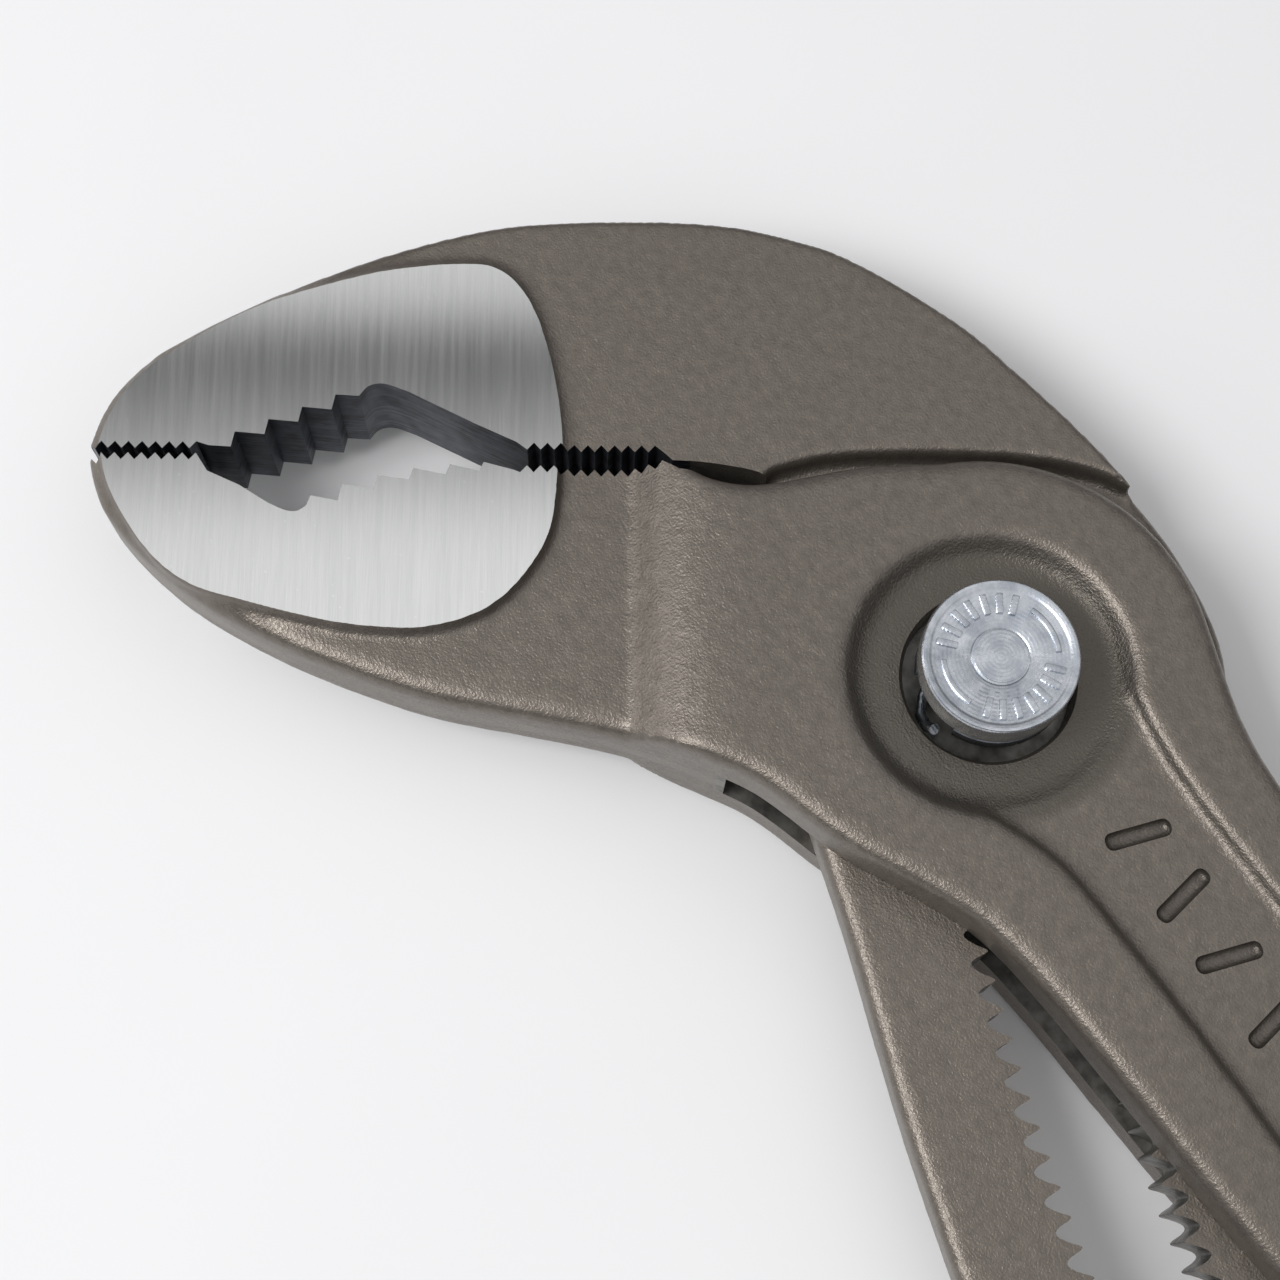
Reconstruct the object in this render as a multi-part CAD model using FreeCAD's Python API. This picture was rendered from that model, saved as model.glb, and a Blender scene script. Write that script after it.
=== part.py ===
"""Push-button tongue and groove pliers, 250 mm size, jaws closed at the smallest setting.

Frame: the pivot axis is Z, the tool lies flat on z = 0 with its button up, and +X points
from the handles to the jaws. Every length is in millimetres.
"""
import FreeCAD, Part
import math
import os

from FreeCAD import Vector

os.makedirs("parts", exist_ok=True)

# ---- driving dimensions -------------------------------------------------
JOINT_THICK = 13.6       # over both cheeks of the box joint
WEB_THICK = 4.4          # slotted limb where it runs between the cheeks
SIDE_GAP = 0.1           # running clearance on each side of the web
LOWER_JAW_THICK = 7.2    # forged thickness of the lower jaw
UPPER_JAW_THICK = 8.0    # forged thickness of the upper jaw and its neck
GROUND_THICK = 8.9       # over the ground faces of both jaws
HANDLE_THICK = 9.0       # forged handle under the grips
HANDLE_END = -192.0      # end of both forged handles
GRIP_START = -101.0      # front end of the grips
CHEEK_R = 16.5           # round top of the cheeks about the pivot
PIVOT_SWEEP_R = 19.7     # room for the slotted limb to turn in the box
OPEN_ANGLE = 25.0        # how far the jaws open at one setting

SLOT_R = 176.8           # centre line of the curved slot
SLOT_START = 66.06       # direction from the slot's centre of curvature to the pivot
TOOTH_PITCH = 0.672      # degrees from one adjusting tooth to the next
SETTINGS = 25            # positions of the bolt in the slot
SLOT_TIP = 3.4           # half the slot width between tooth tips
TOOTH_DEPTH = 1.4
LIMB_HALF = 12.3         # half the width of the slotted limb
LIMB_GAP = 0.6           # slotted limb to the closing wall of the box

BOLT_FIT = 0.05          # radial running clearance of the bolt
TOOTH_FIT = 0.12         # clearance between bolt teeth and slot teeth
WAIST_FIT = 0.15         # bolt waist to the slot's tooth tips
TOOTH_LENGTH = 3.0       # engaged length of the bolt teeth
TOOTH_FREE = 0.3         # bolt teeth clear of the slot when the button is down
RIVET_R = 2.0            # end of the bolt riveted in the button
RIVET_SUNK = 0.15
BUTTON_PROUD = 4.4       # button above the cheek
BUTTON_ROOF = 1.5
BUTTON_WALL = 0.95
BUTTON_GAP = 0.6         # button to its counterbore
HUB_HEIGHT = 1.0         # boss under the button's roof that the bolt stands against
STOP_GAP = 0.1           # pressed button to the floor of its counterbore
WELL_FLOOR = 1.0         # cheek left under the counterbore
RING_WIDTH = 2.7         # flat floor of the dished ring round the counterbore
RING_SLOPE = 2.0
RING_DEPTH = 1.0
SPRING_WIRE = 0.8
SPRING_TURNS = 3.0
SPRING_GAP = 0.1         # spring to the button's inner wall and to its seats
SPRING_ROOM = 1.4        # space for the spring between the waist and the button's skirt

HEAD_TURN = -120.0       # the head is drawn with its jaw line along -x, then turned
JAW_LINE = 17.5          # height of the closed jaw line above the pivot in the head's frame
FINE_PITCH = 1.0
FINE_DEPTH = 0.6
COARSE_PITCH = 2.45
COARSE_DEPTH = 1.2

SHOULDER_X = -25.6       # where the lower jaw starts to thicken, in the head's frame
SHOULDER_SLOPE = 1.3     # run of the shoulder for each millimetre of rise

PANEL_DEPTH = 0.9        # sunk panel between the rims of the handle
MARK_COUNT = 5
MARK_STEP = 5.2
MARK_DEPTH = 0.35
MARK_WIDTH = 0.9
MARK_LENGTH = 4.6
MARK_TILT = 14.0
HANDLE_HALF = 7.5        # half the width of the forged handle
CORE_WALL = 1.5          # hard grip core over the forging
GRIP_HALF_W = 12.0
COLLAR = 5.0             # hard collar showing in front of the sleeve
PAST = 1.0               # how far cutting tools run past a face

# ---- sizes that follow --------------------------------------------------
MID_Z = JOINT_THICK / 2
WEB_LOW = MID_Z - WEB_THICK / 2
WINDOW_THICK = WEB_THICK + 2 * SIDE_GAP
BOX_LOW = MID_Z - WINDOW_THICK / 2
BOX_HIGH = MID_Z + WINDOW_THICK / 2
WELL_Z = BOX_HIGH + WELL_FLOOR
BOLT_R = SLOT_TIP + TOOTH_DEPTH - BOLT_FIT
WAIST_R = SLOT_TIP - WAIST_FIT
PRESS_TRAVEL = TOOTH_LENGTH + TOOTH_FREE
BUTTON_R = WAIST_R + SPRING_ROOM + BUTTON_WALL
BUTTON_TOP_Z = JOINT_THICK + BUTTON_PROUD
BUTTON_LOW_Z = WELL_Z + PRESS_TRAVEL + STOP_GAP
ROOF_Z = BUTTON_TOP_Z - BUTTON_ROOF
WELL_R = BUTTON_R + BUTTON_GAP
RING_R = WELL_R + RING_WIDTH


# ---- small helpers ------------------------------------------------------
def polar(radius, degrees, centre=(0.0, 0.0)):
    """Point at a radius and direction from a centre."""
    turn = math.radians(degrees)
    return (centre[0] + radius * math.cos(turn), centre[1] + radius * math.sin(turn))


def head(points):
    """Turns points drawn in the head's frame into the tool's frame."""
    turn = math.radians(HEAD_TURN)
    cosine = math.cos(turn)
    sine = math.sin(turn)
    return [(x * cosine - y * sine, x * sine + y * cosine) for x, y in points]


def vec(point, z=0.0):
    return Vector(point[0], point[1], z)


def smooth(points):
    """One smooth curve through the points."""
    curve = Part.BSplineCurve()
    curve.interpolate([vec(p) for p in points])
    return curve.toShape()


def straight(points):
    """Straight edges from point to point."""
    return [Part.makeLine(vec(a), vec(b)) for a, b in zip(points[:-1], points[1:])]


def arc(first, middle, last):
    return Part.Arc(vec(first), vec(middle), vec(last)).toShape()


def slab(edges, low, high):
    """Extrudes a closed run of edges from one height to another."""
    face = Part.Face(Part.Wire(edges))
    face.translate(Vector(0, 0, low))
    return face.extrude(Vector(0, 0, high - low))


def plate(edges, thickness):
    """A slab centred on the middle plane."""
    return slab(edges, MID_Z - thickness / 2, MID_Z + thickness / 2)


def round_bar(radius, low, high):
    return Part.makeCylinder(radius, high - low, Vector(0, 0, low))


def closed_polygon(points):
    return straight(list(points) + [points[0]])


def biggest(shape):
    """The one solid of a shape, as a clean solid."""
    solids = sorted(shape.removeSplitter().Solids, key=lambda s: s.Volume)
    return solids[-1]


def save(name, shape):
    shape.exportStep(f"parts/{name}.step")


SLOT_CENTRE = polar(-SLOT_R, SLOT_START)


def along_slot(offset, degrees):
    """Point beside the slot's centre line, outwards from its centre of curvature."""
    return polar(SLOT_R + offset, SLOT_START + degrees, SLOT_CENTRE)


# ---- jaw teeth ----------------------------------------------------------
def fine_teeth(start, stop, height, side, shift=0.0):
    """Small pointed teeth along the jaw line; side +1 bites up, -1 bites down."""
    count = int(round((stop - start) / FINE_PITCH))
    points = []
    for index in range(count):
        x = start + (index + shift) * FINE_PITCH
        points.append((x, height))
        points.append((x + FINE_PITCH / 2, height + side * FINE_DEPTH))
    return points


def coarse_teeth(start, height, count, rise, side):
    """Saw teeth in steps of COARSE_PITCH, each step rising towards the pivot."""
    points = []
    for index in range(count):
        x = start + index * COARSE_PITCH
        y = height + index * rise
        points.append((x, y))
        points.append((x + 0.25, y + side * COARSE_DEPTH))
    return points


UPPER_GRIP = (
    fine_teeth(-66.4, -57.4, JAW_LINE + 0.1, 1)
    + [(-57.0, JAW_LINE + 0.4)]
    + coarse_teeth(-55.35, JAW_LINE + 0.3, 4, 1.0, 1)
    + [(-46.0, 21.9), (-45.3, 22.7), (-44.2, 22.9), (-42.4, 22.3), (-37.2, 19.7), (-34.2, 18.3)]
    + fine_teeth(-33.4, -23.4, JAW_LINE + 0.2, 1)
    + [(-23.0, 17.5), (-18.9, 16.4)]
)
LOWER_GRIP = (
    fine_teeth(-66.4, -57.4, JAW_LINE - 0.5, 1, 0.0)
    + [(-57.0, 15.9), (-54.6, 14.8), (-52.4, 13.4), (-51.0, 12.8), (-50.2, 12.8)]
    + [(-49.6, 13.2), (-49.3, 14.0), (-47.3, 13.6), (-47.0, 14.9), (-44.7, 14.5), (-44.4, 15.6)]
    + [(-42.1, 15.3), (-41.8, 16.2), (-39.4, 15.7), (-39.1, 16.5), (-36.9, 16.0), (-36.6, 16.7)]
    + [(-34.4, 16.1)]
    + fine_teeth(-33.9, -22.9, JAW_LINE - 1.6, 1)
    + [(-22.2, 15.6), (-20.6, 14.9)]
)


# ---- upper limb: jaw, neck and the slotted part -------------------------
def upper_limb():
    crown = head([(-66.4, 18.2), (-65.2, 22.6), (-61.5, 26.4), (-51.1, 32.1), (-35.8, 36.8),
                  (-20.3, 37.3), (-8.7, 34.4), (4.0, 24.6), (12.9, 14.4)])
    step_mid = head([(0.5, 17.9)])[0]
    nose = head([(-15.0, 17.0), (-15.8, 15.6), (-18.9, 15.9)])
    grip = head([(-18.9, 15.9)] + UPPER_GRIP[::-1])
    jaw = plate(
        [smooth(crown), arc(crown[-1], step_mid, nose[0])]
        + straight(nose)
        + straight(grip)
        + straight([grip[-1], crown[0]]),
        UPPER_JAW_THICK,
    )
    ground = head([(-65.9, 18.2), (-63.8, 22.6), (-59.5, 26.2), (-50.0, 30.8), (-42.0, 32.7),
                   (-36.4, 32.6), (-33.2, 29.6), (-31.6, 24.0), (-30.9, 17.0)])
    pad = plate([smooth(ground)] + straight([ground[-1], ground[0]]), GROUND_THICK)
    above_teeth = head(UPPER_GRIP + [(-18.9, 40.0), (-67.0, 40.0)])
    pad = pad.common(plate(closed_polygon(above_teeth), GROUND_THICK))

    left = head([(-14.6, 20.0), (-16.1, 9.0), (-15.4, 0.0)]) + [
        along_slot(LIMB_HALF + 0.5, 5.0),
        along_slot(LIMB_HALF, 10.0),
        along_slot(LIMB_HALF, 16.0),
        (-62.0, 26.9), (-80.0, 28.2), (-100.0, 28.8),
    ]
    right = [(-100.0, 14.6), (-80.0, 7.4), (-62.0, 3.2)] + [
        along_slot(-LIMB_HALF, 16.0),
        along_slot(-LIMB_HALF, 9.0),
        along_slot(0.6 - LIMB_HALF, 6.0),
    ] + head([(16.7, -6.6), (18.2, -0.6), (17.9, 4.0), (16.0, 8.9), (12.9, 14.0), (8.0, 19.0)])
    web = plate(
        [smooth(left)]
        + straight([left[-1], right[0]])
        + [smooth(right)]
        + straight([right[-1], left[0]]),
        WEB_THICK,
    )
    return jaw, pad, web


def slot_outline(shrink, first, last):
    """The toothed slot as a closed run of points, narrowed by a clearance."""
    tip = SLOT_TIP - shrink
    root = SLOT_TIP + TOOTH_DEPTH - shrink
    outer = []
    inner = []
    for index in range(first, last):
        for share, reach in ((0.0, tip), (0.10, tip), (0.36, root), (0.52, root)):
            outer.append(along_slot(reach, (index + share) * TOOTH_PITCH))
        for share, reach in ((0.48, root), (0.64, root), (0.90, tip), (1.0, tip)):
            inner.append(along_slot(-reach, (index + share) * TOOTH_PITCH))
    return outer + inner[::-1]


def handle_bar(centre, half_width):
    """Forged handle inside a grip: a bar along a curved centre line with a round end."""
    left = [(x, y + half_width) for x, y in centre]
    right = [(x, y - half_width) for x, y in centre[::-1]]
    tail = (centre[-1][0] - half_width, centre[-1][1])
    edges = [smooth(left), arc(left[-1], tail, right[0]), smooth(right)]
    edges += straight([right[-1], left[0]])
    return edges


def handle_line(front, heights):
    """Centre line of a handle from its front end to the middle of its round end."""
    back = HANDLE_END + HANDLE_HALF
    step = (back - front) / (len(heights) - 1)
    return [(front + index * step, y) for index, y in enumerate(heights)]


UPPER_CENTRE = handle_line(-98.0, [21.4, 24.9, 26.2, 24.6])
LOWER_CENTRE = handle_line(-88.0, [-10.9, -15.6, -17.8, -17.2])

jaw, ground_pad, web = upper_limb()
slot = plate(closed_polygon(slot_outline(0.0, -3, SETTINGS + 2)), JOINT_THICK)
upper_bar = plate(handle_bar(UPPER_CENTRE, HANDLE_HALF), HANDLE_THICK)
upper_jaw_limb = jaw.fuse([ground_pad, web, upper_bar]).cut(slot)
save("upper_jaw_limb", biggest(upper_jaw_limb))


# ---- lower limb: jaw, box joint and handle ------------------------------
JAW_BELLY = head([(-66.3, 16.9), (-65.6, 13.2), (-63.0, 9.6), (-56.0, 4.9), (-46.0, 0.4),
                  (-34.0, -2.7), (-24.0, -4.6), (-16.5, -8.0)])
HANDLE_LEFT = [(-5.4, 15.5), (-10.0, 12.8), (-15.0, 10.2), (-21.0, 8.8), (-31.0, 7.4),
               (-44.0, 5.6), (-54.0, 3.3), (-66.0, 0.4), (-88.0, -3.4)]
HANDLE_RIGHT = [(-88.0, -18.4), (-66.0, -16.8), (-44.0, -15.1), (-28.0, -14.0),
                (-17.6, -13.6), (-11.0, -14.1)]


def cheek_top(degrees):
    """Point on the round top of the cheeks, by direction in the head's frame."""
    return head([polar(CHEEK_R, degrees)])[0]


def lower_outline():
    """Outline of the whole lower limb without its teeth."""
    belly = JAW_BELLY + HANDLE_LEFT
    crown = [cheek_top(11.0), cheek_top(55.0), cheek_top(100.0)]
    throat = head([(-13.5, 15.0), (-17.0, 14.4), (-20.6, 14.9)])
    edges = [smooth(belly)]
    edges += straight([belly[-1], HANDLE_RIGHT[0]])
    edges += [smooth(HANDLE_RIGHT + [crown[0]])]
    edges += [arc(*crown)]
    edges += [smooth([crown[-1]] + throat)]
    edges += straight(head(LOWER_GRIP[::-1]))
    edges += straight([head(LOWER_GRIP[:1])[0], belly[0]])
    return edges


def side_profile(inset):
    """Side view of the lower limb, thinner towards the handle, as a bar across the tool."""
    stations = [(70.0, 1.0), (-26.0, 1.0), (-52.0, 0.65), (-74.0, 0.2), (-90.0, 0.0)]
    extra = JOINT_THICK - HANDLE_THICK
    halves = [(x, (HANDLE_THICK + share * extra) / 2 - inset) for x, share in stations]
    top = [(x, MID_Z + half) for x, half in halves]
    low = [(x, MID_Z - half) for x, half in halves[::-1]]
    corners = [Vector(x, -60, z) for x, z in top + low]
    face = Part.Face(Part.makePolygon(corners + corners[:1]))
    return face.extrude(Vector(0, 130, 0))


def shoulder_block():
    """Everything from the sloped shoulder beside the jaw to the handle end."""
    rise = (JOINT_THICK - LOWER_JAW_THICK) / 2
    top = [(SHOULDER_X, LOWER_JAW_THICK / 2), (SHOULDER_X + SHOULDER_SLOPE * rise, MID_Z), (260.0, MID_Z)]
    low = [(x, -z) for x, z in top[::-1]]
    corners = [Vector(x, -250, z + MID_Z) for x, z in top + low]
    face = Part.Face(Part.makePolygon(corners + corners[:1]))
    block = face.extrude(Vector(0, 320, 0))
    block.rotate(Vector(0, 0, 0), Vector(0, 0, 1), HEAD_TURN)
    return block


def box_window():
    """Opening between the cheeks where the slotted limb runs and turns."""
    disc = round_bar(PIVOT_SWEEP_R, BOX_LOW, BOX_HIGH)
    inner = SLOT_R - LIMB_HALF - LIMB_GAP
    outer = inner + 58.0
    first = -10.0
    last = 19.0
    middle = (first + last) / 2
    corners = [(inner, first), (inner, last), (outer, last), (outer, first)]
    ends = [along_slot(radius - SLOT_R, turn) for radius, turn in corners]
    run = plate(
        [arc(ends[0], along_slot(inner - SLOT_R, middle), ends[1])]
        + straight([ends[1], ends[2]])
        + [arc(ends[2], along_slot(outer - SLOT_R, middle), ends[3])]
        + straight([ends[3], ends[0]]),
        WINDOW_THICK,
    )
    room = [(-19.2, -14.0), (-17.6, 14.0), (-17.6, 40.0), (90.0, 40.0), (90.0, -90.0), (-19.2, -90.0)]
    return disc.fuse(run).common(plate(closed_polygon(head(room)), WINDOW_THICK))


def panel_outline():
    """Sunk panel of the handle, running into the ring round the button."""
    left = [(-4.0, 8.0), (-9.3, 5.3), (-14.0, 3.2), (-20.0, 2.3),
            (-32.0, 1.1), (-44.0, 0.0), (-60.0, -3.0), (-84.0, -7.4)]
    right = [(-84.0, -14.2), (-60.0, -11.6), (-44.0, -10.4), (-28.0, -9.2),
             (-19.5, -8.3), (-12.0, -7.8), (-6.1, -8.3), (-2.0, -9.0)]
    sides = [smooth(left), smooth(right)]
    return [sides[0]] + straight([left[-1], right[0]]) + [sides[1]] + straight([right[-1], left[0]])


outline = lower_outline()
limb = slab(outline, 0.0, JOINT_THICK).common(side_profile(0.0)).common(shoulder_block())
jaw_plate = plate(outline, LOWER_JAW_THICK).common(
    plate(closed_polygon(head([(-70.0, -20.0), (-20.0, -20.0), (-20.0, 20.0), (-70.0, 20.0)])), LOWER_JAW_THICK)
)
lower_ground = head([(-65.6, 16.9), (-64.4, 13.2), (-61.5, 9.6), (-57.0, 6.6), (-50.0, 4.7), (-43.0, 3.7),
                     (-38.0, 4.4), (-34.0, 7.1), (-31.6, 11.6), (-31.0, 17.2)])
ground_plate = plate([smooth(lower_ground)] + straight([lower_ground[-1], lower_ground[0]]), GROUND_THICK)
below_teeth = head(LOWER_GRIP + [(-18.0, -8.0), (-67.0, -8.0)])
ground_plate = ground_plate.common(plate(closed_polygon(below_teeth), GROUND_THICK))
lower_bar = plate(handle_bar(LOWER_CENTRE, HANDLE_HALF), HANDLE_THICK)

panel = slab(panel_outline(), -PAST, JOINT_THICK + PAST).cut(side_profile(PANEL_DEPTH))
ring_floor = Vector(0, 0, JOINT_THICK - RING_DEPTH)
recess = Part.makeCone(RING_R, RING_R + RING_SLOPE, RING_DEPTH, ring_floor)
well = round_bar(WELL_R, WELL_Z, JOINT_THICK)
front_bore = round_bar(WAIST_R + BOLT_FIT, MID_Z, JOINT_THICK)
back_bore = round_bar(BOLT_R + BOLT_FIT, -PAST, MID_Z)


def marks():
    """A row of plain bars stamped in the panel."""
    floor = JOINT_THICK - PANEL_DEPTH - MARK_DEPTH
    corner = Vector(-MARK_WIDTH / 2, -MARK_LENGTH / 2, floor)
    bars = []
    for index in range(MARK_COUNT):
        bar = Part.makeBox(MARK_WIDTH, MARK_LENGTH, JOINT_THICK, corner)
        bar.rotate(Vector(0, 0, 0), Vector(0, 0, 1), MARK_TILT * (2 * (index % 2) - 1))
        bar.translate(Vector(-15.0 - MARK_STEP * index, -2.9 - 0.35 * index, 0))
        bars.append(bar)
    return bars


cuts = [panel, recess, well, front_bore, back_bore, box_window()] + marks()
lower_jaw_limb = limb.fuse([jaw_plate, ground_plate, lower_bar]).cut(cuts)
save("lower_jaw_limb", biggest(lower_jaw_limb))


# ---- hinge bolt, button and spring --------------------------------------
tooth_top = BOX_LOW + TOOTH_LENGTH
waist_top = ROOF_Z - HUB_HEIGHT
journal = round_bar(BOLT_R, 0.0, BOX_LOW)
tooth_block = slab(closed_polygon(slot_outline(TOOTH_FIT, -4, 4)), BOX_LOW, tooth_top)
tooth_block = tooth_block.common(round_bar(BOLT_R, BOX_LOW, tooth_top))
waist = round_bar(WAIST_R, tooth_top, waist_top)
rivet = round_bar(RIVET_R, waist_top, BUTTON_TOP_Z - RIVET_SUNK)
hinge_bolt = journal.fuse([tooth_block, waist, rivet])
save("hinge_bolt", biggest(hinge_bolt))

cup = round_bar(BUTTON_R, BUTTON_LOW_Z, BUTTON_TOP_Z)
hollow = round_bar(BUTTON_R - BUTTON_WALL, BUTTON_LOW_Z, ROOF_Z)
hub = round_bar(WAIST_R, waist_top, ROOF_Z)
push_button = cup.cut(hollow).fuse(hub).cut(round_bar(RIVET_R, waist_top, BUTTON_TOP_Z))
save("push_button", biggest(push_button))

spring_low = WELL_Z + SPRING_GAP
spring_r = BUTTON_R - BUTTON_WALL - SPRING_GAP - SPRING_WIRE / 2
spring_rise = ROOF_Z - SPRING_GAP - spring_low - SPRING_WIRE
helix = Part.makeHelix(spring_rise / SPRING_TURNS, spring_rise, spring_r)
wire_end = Part.makeCircle(SPRING_WIRE / 2, Vector(spring_r, 0, 0), Vector(0, 1, 0))
button_spring = Part.Wire(helix.Edges).makePipeShell([Part.Wire(wire_end)], True, True)
button_spring.translate(Vector(0, 0, spring_low + SPRING_WIRE / 2))
save("button_spring", button_spring)


# ---- grips: a hard core and a soft sleeve on each handle ----------------
def grip(side, centre, front):
    """Hard core and soft sleeve of one grip, both closed over the handle's end."""
    line = [(GRIP_START, front)] + centre[1:]
    sleeve_line = [(GRIP_START - COLLAR, front)] + centre[1:]
    bar = plate(handle_bar(centre, HANDLE_HALF), HANDLE_THICK)
    core = plate(handle_bar(line, HANDLE_HALF + CORE_WALL), HANDLE_THICK + 2 * CORE_WALL)
    sleeve = plate(handle_bar(sleeve_line, GRIP_HALF_W), JOINT_THICK)
    save(f"{side}_grip_core", biggest(core.cut(bar)))
    save(f"{side}_grip_sleeve", biggest(sleeve.cut([core, bar])))


grip("upper", UPPER_CENTRE, 21.9)
grip("lower", LOWER_CENTRE, -13.1)
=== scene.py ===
"""Push-button tongue and groove pliers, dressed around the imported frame.

Every piece is modelled in millimetres in the tool's own frame (pivot axis on Z, tool lying
on z = 0 with its button up, +X from the handles to the jaws) and scaled to metres at the end.
"""

import logging
import math
from dataclasses import dataclass, field
from enum import Enum, IntEnum
from typing import Callable, Iterable, Sequence

import bmesh
import bpy
from mathutils import Matrix, Vector


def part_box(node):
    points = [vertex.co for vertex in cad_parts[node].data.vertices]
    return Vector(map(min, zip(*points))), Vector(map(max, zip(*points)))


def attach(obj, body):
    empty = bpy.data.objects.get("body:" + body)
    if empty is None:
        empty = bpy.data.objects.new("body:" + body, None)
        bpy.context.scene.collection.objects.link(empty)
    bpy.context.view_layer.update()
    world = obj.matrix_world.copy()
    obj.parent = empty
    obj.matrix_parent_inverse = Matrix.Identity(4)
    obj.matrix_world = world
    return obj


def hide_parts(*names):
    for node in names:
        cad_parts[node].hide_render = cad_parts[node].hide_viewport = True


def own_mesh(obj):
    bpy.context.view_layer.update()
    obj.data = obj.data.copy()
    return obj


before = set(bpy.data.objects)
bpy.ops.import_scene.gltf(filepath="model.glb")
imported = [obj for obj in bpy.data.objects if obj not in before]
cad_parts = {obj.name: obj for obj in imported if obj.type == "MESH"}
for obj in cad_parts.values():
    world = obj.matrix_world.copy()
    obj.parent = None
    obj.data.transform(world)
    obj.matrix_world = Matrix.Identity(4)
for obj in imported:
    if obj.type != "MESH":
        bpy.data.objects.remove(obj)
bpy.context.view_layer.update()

LOG = logging.getLogger("pliers")
MM = 0.001
Point = tuple[float, float]
Outline = list[Point]
Solid = bpy.types.Object
Face = bpy.types.MeshPolygon
BMesh = bmesh.types.BMesh
Socket = bpy.types.NodeSocket
Source = Socket | float | str

HEAD_TURN = math.radians(-120.0)
MID_Z = 1000.0 * (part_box("lower_jaw_limb")[0].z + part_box("lower_jaw_limb")[1].z) / 2
CHEEK_Z = 1000.0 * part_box("lower_jaw_limb")[1].z
BUTTON_TOP = 1000.0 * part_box("push_button")[1].z
BUTTON_R = 1000.0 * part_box("push_button")[1].x
HANDLE_END = 1000.0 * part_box("lower_jaw_limb")[0].x
HANDLE_THICK = 9.0  # of both forged handles where the grips start
GRIP_RUN = -104.0  # how far the limbs' outlines run inside the grips
GROUND_EDGE = -28.5  # where the ground jaw faces end, with the jaw line along -X
GRIND_STOCK = 0.35  # left on each jaw face for grinding
THROUGH = 40.0  # a cut of this thickness passes through the tool
FAR = 400.0  # farther than any part of the tool


class Slot(Enum):
    """The record's material slots."""

    FORGED = "forged_steel"
    BOLT = "bolt_steel"
    BUTTON = "plated_button"
    SPRING = "spring_wire"
    CORE = "grip_core"
    SLEEVE = "grip_sleeve"


class Skin(IntEnum):
    """Finishes of a limb, in the order of its materials."""

    FORGED = 0
    GROUND = 1
    TOOTH = 2
    MILLED = 3


class Carve(Enum):
    """How one solid changes another."""

    CUT = "DIFFERENCE"
    JOIN = "UNION"
    KEEP = "INTERSECT"


# ---- outlines -----------------------------------------------------------
def polar(radius: float, degrees: float, centre: Point = (0.0, 0.0)) -> Point:
    """Point at a radius and direction from a centre."""
    turn = math.radians(degrees)
    return (centre[0] + radius * math.cos(turn), centre[1] + radius * math.sin(turn))


def head(points: Iterable[Point]) -> Outline:
    """Turns points drawn with the jaw line along -X into the tool's frame."""
    cosine, sine = math.cos(HEAD_TURN), math.sin(HEAD_TURN)
    return [(x * cosine - y * sine, x * sine + y * cosine) for x, y in points]


def flow(points: Sequence[Point], step: float = 1.4) -> Outline:
    """Runs one smooth curve through the points.

    Args:
        points: Places that the curve passes through, in order.
        step: Rough distance between the points of the result.

    Returns:
        Points along the curve, with both ends.
    """
    ends = [Vector(p) for p in points]
    ends = [2 * ends[0] - ends[1]] + ends + [2 * ends[-1] - ends[-2]]
    curve: Outline = []
    for before, first, last, after in zip(ends, ends[1:], ends[2:], ends[3:]):
        span = (last - first).length
        into = (last - before) * span / max((last - before).length, span)
        out = (after - first) * span / max((after - first).length, span)
        count = max(2, round(span / step))
        for index in range(count):
            t = index / count
            curve.append(tuple(
                first * (2 * t**3 - 3 * t**2 + 1) + into * (t**3 - 2 * t**2 + t)
                + last * (3 * t**2 - 2 * t**3) + out * (t**3 - t**2)
            ))
    return curve + [tuple(points[-1])]


def arc(centre: Point, radius: float, first: float, last: float, step: float = 4.0) -> Outline:
    """Points along an arc between two directions in degrees."""
    count = max(2, round(abs(last - first) / step))
    return [polar(radius, first + (last - first) * i / count, centre) for i in range(count + 1)]


def grown(outline: Outline, margin: float) -> Outline:
    """An outline moved outwards by a margin.

    Args:
        outline: A closed run of points.
        margin: Distance to move each side, outwards if positive.

    Returns:
        The moved outline.
    """
    around = list(zip([outline[-1]] + outline[:-1], outline, outline[1:] + outline[:1]))
    area = sum(a[0] * b[1] - b[0] * a[1] for _, a, b in around)
    side = math.copysign(margin, area)
    moved: Outline = []
    for before, here, after in around:
        along = (Vector(after) - Vector(before)).normalized()
        moved.append((here[0] + along.y * side, here[1] - along.x * side))
    return moved


# ---- solids -------------------------------------------------------------
def piece(name: str, bm: BMesh) -> Solid:
    """Makes an object of a bmesh, with its normals outwards.

    Args:
        name: Name of the object.
        bm: Its shape, freed afterwards.

    Returns:
        The object, in the scene.
    """
    bmesh.ops.recalc_face_normals(bm, faces=bm.faces)
    mesh = bpy.data.meshes.new(name)
    bm.to_mesh(mesh)
    bm.free()
    made = bpy.data.objects.new(name, mesh)
    bpy.context.scene.collection.objects.link(made)
    return made


def prism(corners: Iterable[Sequence[float]], move: tuple[float, float, float]) -> BMesh:
    """Moves a flat face along a straight line.

    Args:
        corners: Corners of the face.
        move: How far it moves along each axis.

    Returns:
        The closed bmesh.
    """
    bm = bmesh.new()
    face = bm.faces.new([bm.verts.new(corner) for corner in corners])
    moved = bmesh.ops.extrude_face_region(bm, geom=[face])["geom"]
    ends = [v for v in moved if isinstance(v, bmesh.types.BMVert)]
    bmesh.ops.translate(bm, verts=ends, vec=move)
    return bm


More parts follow.
